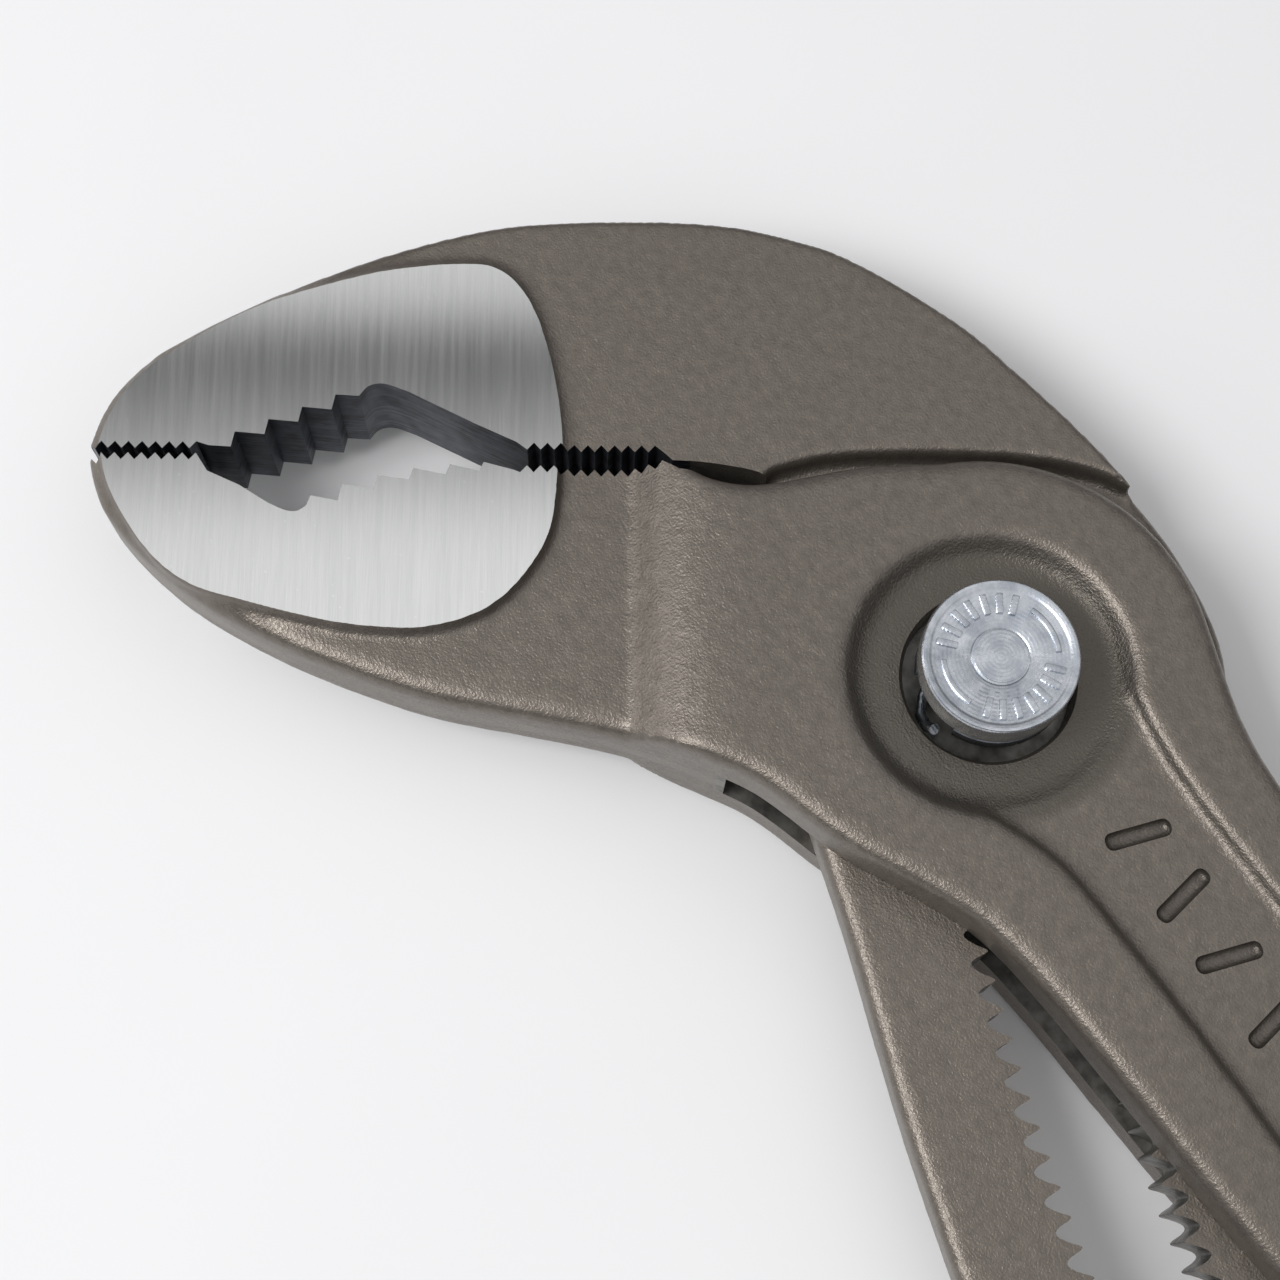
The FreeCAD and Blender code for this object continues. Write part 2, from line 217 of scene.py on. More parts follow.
def slab(outline: Outline, low: float, high: float, round_r: float = 0.0, steps: int = 4) -> Solid:
    """Extrudes an outline into a plate.

    Args:
        outline: Closed run of points.
        low: Height of the bottom face.
        high: Height of the top face.
        round_r: Rounding of the edges of both faces.
        steps: Segments of that rounding.

    Returns:
        The plate.
    """
    bm = prism([(x, y, low) for x, y in outline], (0, 0, high - low))
    bmesh.ops.recalc_face_normals(bm, faces=bm.faces)
    if round_r:
        rims = [e for e in bm.edges if abs(e.verts[0].co.z - e.verts[1].co.z) < 0.01]
        bmesh.ops.bevel(bm, geom=rims, offset=round_r, segments=steps, profile=0.5,
                        affect="EDGES", material=-1, clamp_overlap=True)
    return piece("plate", bm)


def plate(outline: Outline, thick: float, round_r: float = 0.0, steps: int = 4) -> Solid:
    """A slab of a thickness about the tool's middle plane."""
    return slab(outline, MID_Z - thick / 2, MID_Z + thick / 2, round_r, steps)


def block(size: tuple[float, float, float], round_r: float, steps: int) -> BMesh:
    """Makes a rounded box about the origin.

    Args:
        size: Its length along each axis.
        round_r: Rounding of its edges.
        steps: Segments of that rounding.

    Returns:
        The closed bmesh.
    """
    bm = bmesh.new()
    bmesh.ops.create_cube(bm, size=1.0)
    bmesh.ops.scale(bm, vec=size, verts=bm.verts)
    bmesh.ops.bevel(bm, geom=bm.edges[:], offset=round_r, segments=steps, profile=0.5,
                    affect="EDGES", material=-1)
    return bm


def swing(bm: BMesh, turn: float) -> None:
    """Turns a bmesh about the pivot axis."""
    bmesh.ops.rotate(bm, verts=bm.verts, cent=(0, 0, 0), matrix=Matrix.Rotation(turn, 3, "Z"))


def turned(profile: Sequence[Point], steps: int = 64) -> Solid:
    """Spins a profile round the pivot axis.

    Args:
        profile: Radius and height of its points, from the axis and back to it.
        steps: Segments of a full turn.

    Returns:
        The closed solid.
    """
    bm = bmesh.new()
    verts = [bm.verts.new((r, 0, z)) for r, z in profile]
    edges = [bm.edges.new(pair) for pair in zip(verts, verts[1:])]
    bmesh.ops.spin(bm, geom=verts + edges, cent=(0, 0, 0), axis=(0, 0, 1), angle=2 * math.pi,
                   steps=steps, use_merge=True)
    bmesh.ops.remove_doubles(bm, verts=bm.verts, dist=0.0005)
    return piece("turned", bm)


def disc(radius: float, low: float, high: float) -> Solid:
    """A plain round bar on the pivot axis."""
    return turned([(0, low), (radius, low), (radius, high), (0, high)], 72)


def bar(points: Sequence[Point], turn: float) -> Solid:
    """Makes a long prism across the tool.

    Args:
        points: Its side view, as places along the tool and heights.
        turn: Its turn about the pivot axis.

    Returns:
        The prism.
    """
    bm = prism([(x, -FAR, z) for x, z in points], (0, 2 * FAR, 0))
    swing(bm, turn)
    return piece("bar", bm)


def finished(made: Solid) -> None:
    """Applies the object's modifiers to its mesh.

    Args:
        made: The object.
    """
    view = bpy.context.evaluated_depsgraph_get()
    old = made.data
    made.data = bpy.data.meshes.new_from_object(made.evaluated_get(view))
    made.modifiers.clear()
    bpy.data.meshes.remove(old)


def carve(made: Solid, how: Carve, *tools: Solid) -> Solid:
    """Cuts, joins or keeps what other solids cover, and removes those solids.

    Args:
        made: The solid to change.
        how: What the tools do to it.
        tools: Closed solids.

    Returns:
        The changed solid.
    """
    for tool in tools:
        step = made.modifiers.new("carve", "BOOLEAN")
        step.operation = how.value
        step.solver = "EXACT"
        step.object = tool
        bpy.context.view_layer.update()
        finished(made)
        bpy.data.objects.remove(tool)
    return made


def forged(made: Solid, voxel: float, soft: int, ripple: float) -> Solid:
    """Gives a rough solid the even skin of a die forging.

    Args:
        made: The solid, its parts may overlap.
        voxel: Mesh size of the skin.
        soft: How many smoothing passes round its edges.
        ripple: Height of the slight unevenness left by the dies and scale.

    Returns:
        The same object with its new mesh.
    """
    skin = made.modifiers.new("skin", "REMESH")
    skin.mode = "VOXEL"
    skin.voxel_size = voxel
    smooth = made.modifiers.new("soft", "SMOOTH")
    smooth.factor = 0.5
    smooth.iterations = soft
    noise = bpy.data.textures.new("die_scale", "CLOUDS")
    noise.noise_scale = 2.6
    noise.noise_depth = 2
    uneven = made.modifiers.new("ripple", "DISPLACE")
    uneven.texture = noise
    uneven.texture_coords = "LOCAL"
    uneven.strength = ripple
    uneven.mid_level = 0.5
    finished(made)
    return made


def place(made: Solid, name: str, body: str, slot: Slot, *nodes: str) -> None:
    """Names a finished piece, scales it to metres and hands it to the frame.

    Args:
        made: The piece, in millimetres.
        name: Its name.
        body: The body that it rides on.
        slot: Its finish in the record; not used.
        nodes: The nodes of the frame that it stands for.
    """
    made.name = made.data.name = name
    made.data.transform(Matrix.Scale(MM, 4))
    made.data.update()
    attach(made, body)
    if nodes:
        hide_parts(*nodes)
    LOG.info("%s: %d faces", name, len(made.data.polygons))


def shade(made: Solid, degrees: float) -> None:
    """Smooth shading that keeps edges sharper than an angle.

    Args:
        made: The piece.
        degrees: The angle.
    """
    mesh = made.data
    mesh.shade_smooth()
    mesh.set_sharp_from_angle(angle=math.radians(degrees))


# ---- finishes -----------------------------------------------------------
def linear(code: str) -> tuple[float, float, float, float]:
    """Turns an sRGB hex colour into linear RGBA.

    Args:
        code: A hash sign and six digits.

    Returns:
        Red, green, blue and alpha.
    """
    parts = [int(code[i:i + 2], 16) / 255 for i in (1, 3, 5)]
    red, green, blue = (c / 12.92 if c <= 0.04045 else ((c + 0.055) / 1.055) ** 2.4 for c in parts)
    return (red, green, blue, 1.0)


def add_node(tree: bpy.types.NodeTree, kind: str, inputs: dict | None = None, **settings) -> bpy.types.Node:
    """Adds one node to a tree.

    Args:
        tree: The tree.
        kind: Type of the node.
        inputs: By name or number, the socket, value or hex colour that each input gets.
        settings: Its own properties.

    Returns:
        The node.
    """
    made = tree.nodes.new(kind)
    for key, value in settings.items():
        setattr(made, key, value)
    for key, value in (inputs or {}).items():
        give(tree, made.inputs[key], value)
    return made


def give(tree: bpy.types.NodeTree, socket: Socket, value: Source | Vector | tuple) -> None:
    """Links a socket to an input, or sets the input to a value or a hex colour.

    Args:
        tree: The tree.
        socket: The input.
        value: What it gets.
    """
    if isinstance(value, Socket):
        tree.links.new(value, socket)
    else:
        socket.default_value = linear(value) if isinstance(value, str) else value


class Shader:
    """One node material under construction, with patterns sized in millimetres."""

    def __init__(self, name: str) -> None:
        """Starts an empty material with a Principled shader."""
        self.material = bpy.data.materials.new(name)
        self.material.use_nodes = True
        self.tree = self.material.node_tree
        self.skin = self.tree.nodes["Principled BSDF"]
        self.place = self.add("ShaderNodeTexCoord").outputs["Object"]

    def add(self, kind: str, inputs: dict | None = None, **settings) -> bpy.types.Node:
        """Adds one node to the material."""
        return add_node(self.tree, kind, inputs, **settings)

    def scaled(self, x: float, y: float, z: float, turn: float = 0.0) -> Socket:
        """Object coordinates, turned about Z and divided by a size in millimetres along each axis."""
        spun = self.add("ShaderNodeVectorRotate", {"Vector": self.place, "Angle": turn},
                        rotation_type="Z_AXIS").outputs[0]
        return self.vector("MULTIPLY", spun, (1 / (x * MM), 1 / (y * MM), 1 / (z * MM))).outputs[0]

    def vector(self, how: str, *terms: Socket | tuple) -> bpy.types.Node:
        """One step of arithmetic on vectors."""
        return self.add("ShaderNodeVectorMath", dict(enumerate(terms)), operation=how)

    def streaks(self, x: float, y: float, z: float, detail: float = 2.0, rough: float = 0.5,
                turn: float = 0.0) -> Socket:
        """Noise whose lumps have a size in millimetres along each axis."""
        inputs = {"Vector": self.scaled(x, y, z, turn), "Scale": 1.0, "Detail": detail, "Roughness": rough}
        return self.add("ShaderNodeTexNoise", inputs).outputs["Fac"]

    def noise(self, grain: float, detail: float = 2.0, rough: float = 0.5) -> Socket:
        """Even noise whose lumps are about one grain across."""
        return self.streaks(grain, grain, grain, detail, rough)

    def ramp(self, source: Socket, low: float, high: float,
             first: float = 0.0, last: float = 1.0) -> Socket:
        """Stretches a value from one range to another, with its ends held."""
        inputs = {"Value": source, "From Min": low, "From Max": high, "To Min": first, "To Max": last}
        return self.add("ShaderNodeMapRange", inputs).outputs[0]

    def worked(self, how: str, *terms: Source) -> Socket:
        """One step of arithmetic."""
        return self.add("ShaderNodeMath", dict(enumerate(terms)), operation=how).outputs[0]

    def mixed(self, share: Socket, first: Source, last: Source) -> Socket:
        """Mixes two colours, each a hex code or a socket."""
        return self.add("ShaderNodeMix", {"Factor": share, 6: first, 7: last}, data_type="RGBA").outputs[2]

    def bump(self, height: Socket, depth: float,
             under: Socket | None = None) -> Socket:
        """A bump of a depth in millimetres, over another one if there is one."""
        inputs = {"Height": height, "Distance": depth * MM}
        if under is not None:
            inputs["Normal"] = under
        return self.add("ShaderNodeBump", inputs).outputs[0]

    def feed(self, **sources: Source) -> None:
        """Feeds the skin's inputs, named with underscores for spaces."""
        for name, source in sources.items():
            give(self.tree, self.skin.inputs[name.replace("_", " ")], source)


@dataclass(frozen=True)
class ForgedSteel:
    """Chrome vanadium steel, die forged, shot blasted, phosphated and left with an oil film: warm grey
    with a dense orange peel that throws small highlights. It is brighter in patches along the
    parting line where flash was sheared off. Painted shade darkens the sunk ring round the button,
    and an occlusion node paints shade into crevices and inside corners."""

    name: str = "forged_steel_phosphated"
    dark: str = "#6f6861"
    light: str = "#7d766e"
    # Painted shade: darker tone for the sunk ring round the button.
    painted_ring_shade: str = "#605b54"
    sheared: str = "#86817a"
    # Painted shade: near-black colour that an occlusion node lays into crevices and inside corners.
    painted_crease_shade: str = "#2c2926"
    peel: float = 0.18
    lumps: float = 0.9
    # Reach and heights of the painted shade in the sunk ring round the button.
    ring_edge: tuple[float, float] = (11.4, 10.4)
    ring_top: tuple[float, float] = (13.3, 12.6)
    ring_floor: tuple[float, float] = (11.2, 11.6)
    parting: tuple[float, float] = (1.2, 0.6)

    def sunk(self, s: Shader, place: Socket, height: Socket) -> Socket:
        """Share of the painted ring shade: in the ring round the button, below the upper cheek's face.

        Args:
            s: The shader.
            place: Object coordinates in millimetres.
            height: Their height.

        Returns:
            The share.
        """
        flat = s.vector("MULTIPLY", place, (1.0, 1.0, 0.0)).outputs[0]
        reach = s.vector("LENGTH", flat).outputs["Value"]
        level = s.worked("MULTIPLY", s.ramp(height, *self.ring_top), s.ramp(height, *self.ring_floor))
        return s.worked("MULTIPLY", s.ramp(reach, *self.ring_edge), level)

    def flash(self, s: Shader, height: Socket) -> Socket:
        """Share of the sheared tone: in torn patches beside the parting line.

        Args:
            s: The shader.
            height: Height in millimetres.

        Returns:
            The share.
        """
        away = s.worked("ABSOLUTE", s.worked("SUBTRACT", height, MID_Z))
        torn = s.ramp(s.noise(6.0, 2.0), 0.30, 0.75)
        return s.worked("MULTIPLY", s.ramp(away, *self.parting), torn)

    def build(self) -> bpy.types.Material:
        """Returns the material."""
        s = Shader(self.name)
        fine = s.noise(self.peel, 2.0, 0.55)
        broad = s.noise(self.lumps, 3.0, 0.6)
        tone = s.mixed(s.ramp(broad, 0.3, 0.7), self.dark, self.light)
        pits = s.ramp(s.noise(self.peel * 0.6, 1.0), 0.28, 0.42)
        place = s.scaled(1.0, 1.0, 1.0)
        height = s.add("ShaderNodeSeparateXYZ", {0: place}).outputs[2]
        # Painted shade: the occlusion node darkens crevices, inside corners and the shoulder's root.
        crease_shade_ao = s.add("ShaderNodeAmbientOcclusion", {"Distance": 1.3 * MM}, samples=6, only_local=True)
        skin = s.mixed(self.flash(s, height), s.mixed(pits, self.dark, tone), self.sheared)
        # Painted shade: the sunk ring round the button is darkened.
        ring_shaded_skin = s.mixed(self.sunk(s, place, height), skin, self.painted_ring_shade)
        s.feed(
            Base_Color=s.mixed(s.ramp(crease_shade_ao.outputs["AO"], 0.45, 0.92), self.painted_crease_shade, ring_shaded_skin),
            Roughness=s.ramp(fine, 0.3, 0.7, 0.46, 0.30),
            Normal=s.bump(fine, 0.052, s.bump(broad, 0.055)),
            Metallic=0.70,
        )
        return s.material


@dataclass(frozen=True)
class GroundSteel:
    """Jaw faces ground flat on a belt: bright, with fine scratches square to the jaw line and a
    few pale specks of dust. The scratches are coarser than a belt's, so that they show."""

    name: str = "ground_steel_jaw_face"
    grain: float = 0.075
    length: float = 3.0
    depth: float = 50.0

    def build(self) -> bpy.types.Material:
        """Returns the material."""
        s = Shader(self.name)
        lines = s.streaks(self.grain, self.length, self.depth, 3.0, 0.7, -HEAD_TURN)
        wide = s.streaks(0.45, 14.0, self.depth, turn=-HEAD_TURN)
        specks = s.ramp(s.noise(0.34, 0.0), 0.79, 0.83)
        tone = s.mixed(s.ramp(s.worked("ADD", lines, wide), 0.75, 1.25), "#dfe0df", "#eaebe9")
        across = s.add("ShaderNodeCombineXYZ", {0: math.cos(HEAD_TURN), 1: math.sin(HEAD_TURN)})
        s.feed(
            Base_Color=s.mixed(specks, tone, "#ececec"),
            Roughness=s.ramp(wide, 0.3, 0.7, 0.125, 0.145),
            Normal=s.bump(lines, 0.0007),
            Metallic=1.0,
            Anisotropic=0.93,
            Tangent=across.outputs[0],
        )
        return s.material


@dataclass(frozen=True)
class CutSteel:
    """Steel that keeps the fine rings of its cutter."""

    name: str
    dark: str
    light: str
    marks: tuple[float, float, float]
    detail: float
    cloud: float
    rough: tuple[float, float]

    def build(self) -> bpy.types.Material:
        """Returns the material."""
        s = Shader(self.name)
        cutter = s.streaks(*self.marks, self.detail)
        s.feed(
            Base_Color=s.mixed(s.ramp(s.noise(self.cloud, 3.0), 0.3, 0.7), self.dark, self.light),
            Roughness=s.ramp(cutter, 0.3, 0.7, *self.rough),
            Normal=s.bump(cutter, 0.03),
            Metallic=0.9,
        )
        return s.material


@dataclass(frozen=True)
class ZincPlate:
    """Turned steel with bright zinc plating: pale blue-white with cloudy patches and faint
    turning rings."""

    name: str = "zinc_plate"
    low: str = "#aeb4bd"
    high: str = "#d9dde3"

    def build(self) -> bpy.types.Material:
        """Returns the material."""
        s = Shader(self.name)
        inputs = {"Vector": s.scaled(1.0, 1.0, 1.0), "Scale": 1.1, "Distortion": 0.6, "Detail": 2.0}
        rings = s.add("ShaderNodeTexWave", inputs, wave_type="RINGS", rings_direction="Z")
        cloud = s.noise(1.3, 4.0, 0.65)
        fine = s.noise(0.22, 2.0)
        s.feed(
            Base_Color=s.mixed(s.ramp(cloud, 0.32, 0.68), self.low, self.high),
            Roughness=s.ramp(cloud, 0.3, 0.7, 0.34, 0.20),
            Normal=s.bump(fine, 0.012, s.bump(rings.outputs["Fac"], 0.006)),
            Metallic=1.0,
        )
        return s.material


@dataclass(frozen=True)
class MouldedGrip:
    """Moulded grip plastic with a fine spark-eroded texture."""

    name: str
    dark: str
    light: str
    grain: float
    depth: float
    gloss: float

    def build(self) -> bpy.types.Material:
        """Returns the material."""
        s = Shader(self.name)
        grain = s.noise(self.grain, 2.0, 0.6)
        worn = s.noise(9.0, 3.0)
        s.feed(
            Base_Color=s.mixed(s.ramp(worn, 0.35, 0.7), self.dark, self.light),
            Roughness=s.ramp(grain, 0.3, 0.7, self.gloss, self.gloss + 0.14),
            Normal=s.bump(grain, self.depth),
            IOR=1.5,
        )
        return s.material


@dataclass(frozen=True)
class StudioWhite:
    """Matt white photographic sweep."""

    name: str = "studio_white"

    def build(self) -> bpy.types.Material:
        """Returns the material."""
        s = Shader(self.name)
        s.feed(Base_Color=s.mixed(s.noise(40.0), "#efeff0", "#f4f4f5"), Roughness=0.9)
        return s.material


class Finishes:
    """The materials of the tool, each made once."""

    def __init__(self) -> None:
        """Builds them all."""
        self.forging = ForgedSteel().build()
        self.ground = GroundSteel().build()
        # Tooth flanks are milled and then hardened: blue-black with a dull sheen.
        self.tooth = CutSteel("hardened_tooth_flank", "#3a3c42", "#62666e", (6.0, 6.0, 0.25), 2.0,
                              1.6, (0.30, 0.48)).build()
        # Slot walls, bores and bolt are machined after forging and left oiled.
        self.milled = CutSteel("milled_steel", "#55534f", "#8a8883", (5.0, 5.0, 0.3), 3.0,
                               1.2, (0.32, 0.5)).build()
        self.zinc = ZincPlate().build()
        # Painted shade: a darker zinc for the part of the button below its groove, down in the well.
        self.zinc_well_shade = ZincPlate("zinc_plate_painted_well_shade", "#5b6069", "#8a9099").build()
        self.spring = ZincPlate("spring_wire_bright", "#7f858c", "#c3c8ce").build()
        self.core = MouldedGrip("grip_core_nylon", "#16333d", "#1b3d49", 0.30, 0.020, 0.34).build()
        self.sleeve = MouldedGrip("grip_sleeve_elastomer", "#17181a", "#222427", 0.45, 0.040, 0.58).build()


def dress(made: Solid, materials: Sequence[bpy.types.Material],
          choose: Callable[[Face], int]) -> None:
    """Gives a piece its materials.

    Args:
        made: The piece, still in millimetres.
        materials: Its materials.
        choose: Says which of them a face has.
    """
    mesh = made.data
    mesh.materials.clear()
    for material in materials:
        mesh.materials.append(material)
    for face in mesh.polygons:
        face.material_index = choose(face)
    kinds = {}
    for face in mesh.polygons:
        for key in face.edge_keys:
            kinds.setdefault(key, set()).add(face.material_index)
    for edge in mesh.edges:
        if len(kinds.get(edge.key, ())) > 1:
            edge.use_edge_sharp = True


# ---- the two limbs ------------------------------------------------------
@dataclass
class JawTeeth:
    """Teeth of both jaws, drawn with the closed jaw line along -X."""

    line: float = 17.5
    fine_pitch: float = 1.0
    fine_depth: float = 0.55
    coarse_pitch: float = 2.45
    coarse_depth: float = 1.2

    def near(self, x: float, y: float) -> bool:
        """Whether a place is on the bite of either jaw."""
        if -57.5 < x < -34.0:
            return 12.0 < y < 23.5
        return -66.0 < x < -21.0 and 15.0 < y < 18.8

    def fine(self, start: float, stop: float, height: float) -> Outline:
        """Small pointed teeth between two places.

        Args:
            start: Where the first tooth starts.
            stop: Where the last tooth ends.
            height: Foot of the teeth.

        Returns:
            Points of the edge.
        """
        points: Outline = []
        for index in range(round((stop - start) / self.fine_pitch)):
            x = start + index * self.fine_pitch
            points += [(x, height), (x + self.fine_pitch / 2, height + self.fine_depth)]
        return points

    def coarse(self, start: float, height: float, count: int, rise: float) -> Outline:
        """Saw teeth in steps that rise towards the pivot.

        Args:
            start: Where the first tooth is.
            height: Foot of the first tooth.
            count: Number of teeth.
            rise: How much higher each next tooth stands.

        Returns:
            Points of the edge.
        """
        points: Outline = []
        for index in range(count):
            x = start + index * self.coarse_pitch
            y = height + index * rise
            points += [(x, y), (x + 0.25, y + self.coarse_depth)]
        return points

    def upper(self) -> Outline:
        """Edge of the upper jaw from its tip to the throat."""
        return (
            self.fine(-66.4, -57.4, self.line + 0.15) + [(-57.0, self.line + 0.4)]
            + self.coarse(-55.35, self.line + 0.3, 4, 1.0)
            + flow([(-46.0, 21.9), (-45.3, 22.7), (-44.2, 22.9), (-42.4, 22.3)], 0.3)
            + [(-37.2, 19.7), (-34.2, 18.3)]
            + self.fine(-33.4, -23.4, self.line + 0.2) + [(-23.0, 17.5)]
        )

    def lower(self) -> Outline:
        """Edge of the lower jaw from its tip to the throat."""
        steps = [(-49.3, 14.0), (-47.3, 13.6), (-47.0, 14.9), (-44.7, 14.5), (-44.4, 15.6), (-42.1, 15.3),
                 (-41.8, 16.2), (-39.4, 15.7), (-39.1, 16.5), (-36.9, 16.0), (-36.6, 16.7), (-34.4, 16.1)]
        return (
            self.fine(-66.4, -57.4, self.line - 0.75)
            + [(-57.0, 15.9), (-54.6, 14.8)]
            + flow([(-52.4, 13.4), (-51.0, 12.8), (-50.2, 12.8), (-49.6, 13.2)], 0.3)
            + steps + self.fine(-33.9, -22.9, self.line - 1.6) + [(-22.2, 15.6)]
        )


@dataclass
class CurvedSlot:
    """Curved adjusting slot: teeth on both walls about a centre of curvature."""

    radius: float = 176.8
    start: float = 66.06
    pitch: float = 0.672
    settings: int = 25
    tip: float = 3.4
    depth: float = 1.4

    def along(self, offset: float, degrees: float) -> Point:
        """Point beside the slot's centre line, outwards from its centre of curvature."""
        return polar(self.radius + offset, self.start + degrees, polar(-self.radius, self.start))

    def outline(self, first: int, last: int) -> Outline:
        """Toothed outline of the slot between two tooth numbers.

        Args:
            first: First tooth.
            last: Tooth after the last one.

        Returns:
            The closed outline.
        """
        outer: Outline = []
        inner: Outline = []
        root = self.tip + self.depth
        wave = ((0.0, self.tip), (0.05, self.tip), (0.11, self.tip + 0.25), (0.19, root - 0.45),
                (0.26, root - 0.15), (0.34, root), (0.44, root - 0.03), (0.54, root - 0.18),
                (0.66, root - 0.45), (0.80, root - 0.82), (0.93, self.tip + 0.16))
        for index in range(first, last):
            outer += [self.along(reach, (index + share) * self.pitch) for share, reach in wave]
            inner += [self.along(-reach, (index + 1 - share) * self.pitch) for share, reach in wave[::-1]]
        return outer + inner[::-1]


@dataclass
class Handle:
    """Forged handle inside a grip: a bar along a curved centre line with a round end."""

    front: float
    heights: list[float]
    half: float = 7.5
    thick: float = HANDLE_THICK

    def line(self, back: float) -> Outline:
        """Centre line from the front end to a place along the tool."""
        step = (back - self.front) / (len(self.heights) - 1)
        return flow([(self.front + i * step, y) for i, y in enumerate(self.heights)], 3.0)

    def solid(self) -> Solid:
        """The bar."""
        line = self.line(HANDLE_END + self.half)
        centre = line[-1]
        outline = (
            [(x, y + self.half) for x, y in line]
            + arc(centre, self.half, 90.0, 270.0, 15.0)[1:-1]
            + [(x, y - self.half) for x, y in line[::-1]]
        )
        return plate(outline, self.thick, 1.5, 3)


@dataclass(frozen=True)
class Spot:
    """A face of a limb: its centre, that centre as drawn with the jaw line along -X, its distance
    from the middle plane, and how upright its normal is."""

    centre: Vector
    drawn: Point
    lift: float
    upright: float


def spot(face: Face) -> Spot:
    """Where a face is and how it leans.

    Args:
        face: A face of a limb, in millimetres.

    Returns:
        Its place and lean.
    """
    cosine, sine = math.cos(HEAD_TURN), math.sin(HEAD_TURN)
    x, y, z = face.center
    drawn = (x * cosine + y * sine, y * cosine - x * sine)
    return Spot(face.center, drawn, abs(z - MID_Z), abs(face.normal.z))


@dataclass
class Limb:
    """What both forged limbs share."""

    finishes: Finishes
    teeth: JawTeeth = field(default_factory=JawTeeth)
    slot: CurvedSlot = field(default_factory=CurvedSlot)
    voxel: float = 0.36
    soft: int = 8
    ripple: float = 0.06
    ground: float = 8.9

    def blank(self) -> Solid:
        """The forging before it is machined."""
        raise NotImplementedError

    def swell(self, x: float) -> float:
        """How much thicker the forging becomes at a place along the tool."""
        raise NotImplementedError

    def machined(self, at: Spot) -> bool:
        """Whether a face that isn't on the jaws is milled."""
        raise NotImplementedError

    def pad(self, outline: Outline) -> Solid:
        """The proud face of the jaw, with stock left for grinding."""
        return plate(head(outline), self.ground + 2 * GRIND_STOCK, 0.5, 2)

    def rough(self, handle: Handle, bite: Outline) -> Solid:
        """Forges the limb, cuts its teeth and grinds its jaw faces flat.

        Args:
            handle: The bar inside its grip.
            bite: What is cut from the jaw, drawn with the jaw line along -X.

        Returns:
            The limb.
        """
        made = forged(self.blank(), self.voxel, self.soft, self.ripple)
        for vert in made.data.vertices:
            vert.co.z = MID_Z + (vert.co.z - MID_Z) * self.swell(vert.co.x)
        carve(made, Carve.JOIN, handle.solid())
        carve(made, Carve.CUT, plate(head(bite), THROUGH))
        area = head([(-75.0, -30.0), (GROUND_EDGE, -30.0), (GROUND_EDGE, 60.0), (-75.0, 60.0)])
        for low, high in ((MID_Z + self.ground / 2, MID_Z + 30), (MID_Z - 30, MID_Z - self.ground / 2)):
            carve(made, Carve.CUT, slab(area, low, high))
        return made

    def kind(self, face: Face) -> Skin:
        """Which finish a face has.

        Args:
            face: A face of the limb.

        Returns:
            The finish.
        """
        at = spot(face)
        if at.upright > 0.999 and abs(at.lift - self.ground / 2) < 0.01 and at.drawn[0] < GROUND_EDGE:
            return Skin.GROUND
        if at.upright < 0.03 and at.lift < self.ground / 2 + 0.01 and self.teeth.near(*at.drawn):
            return Skin.TOOTH
        return Skin.MILLED if self.machined(at) else Skin.FORGED

    def dress(self, made: Solid) -> None:
        """Shades the limb and gives it its finishes."""
        shade(made, 35.0)
        f = self.finishes
        dress(made, [f.forging, f.ground, f.tooth, f.milled], self.kind)


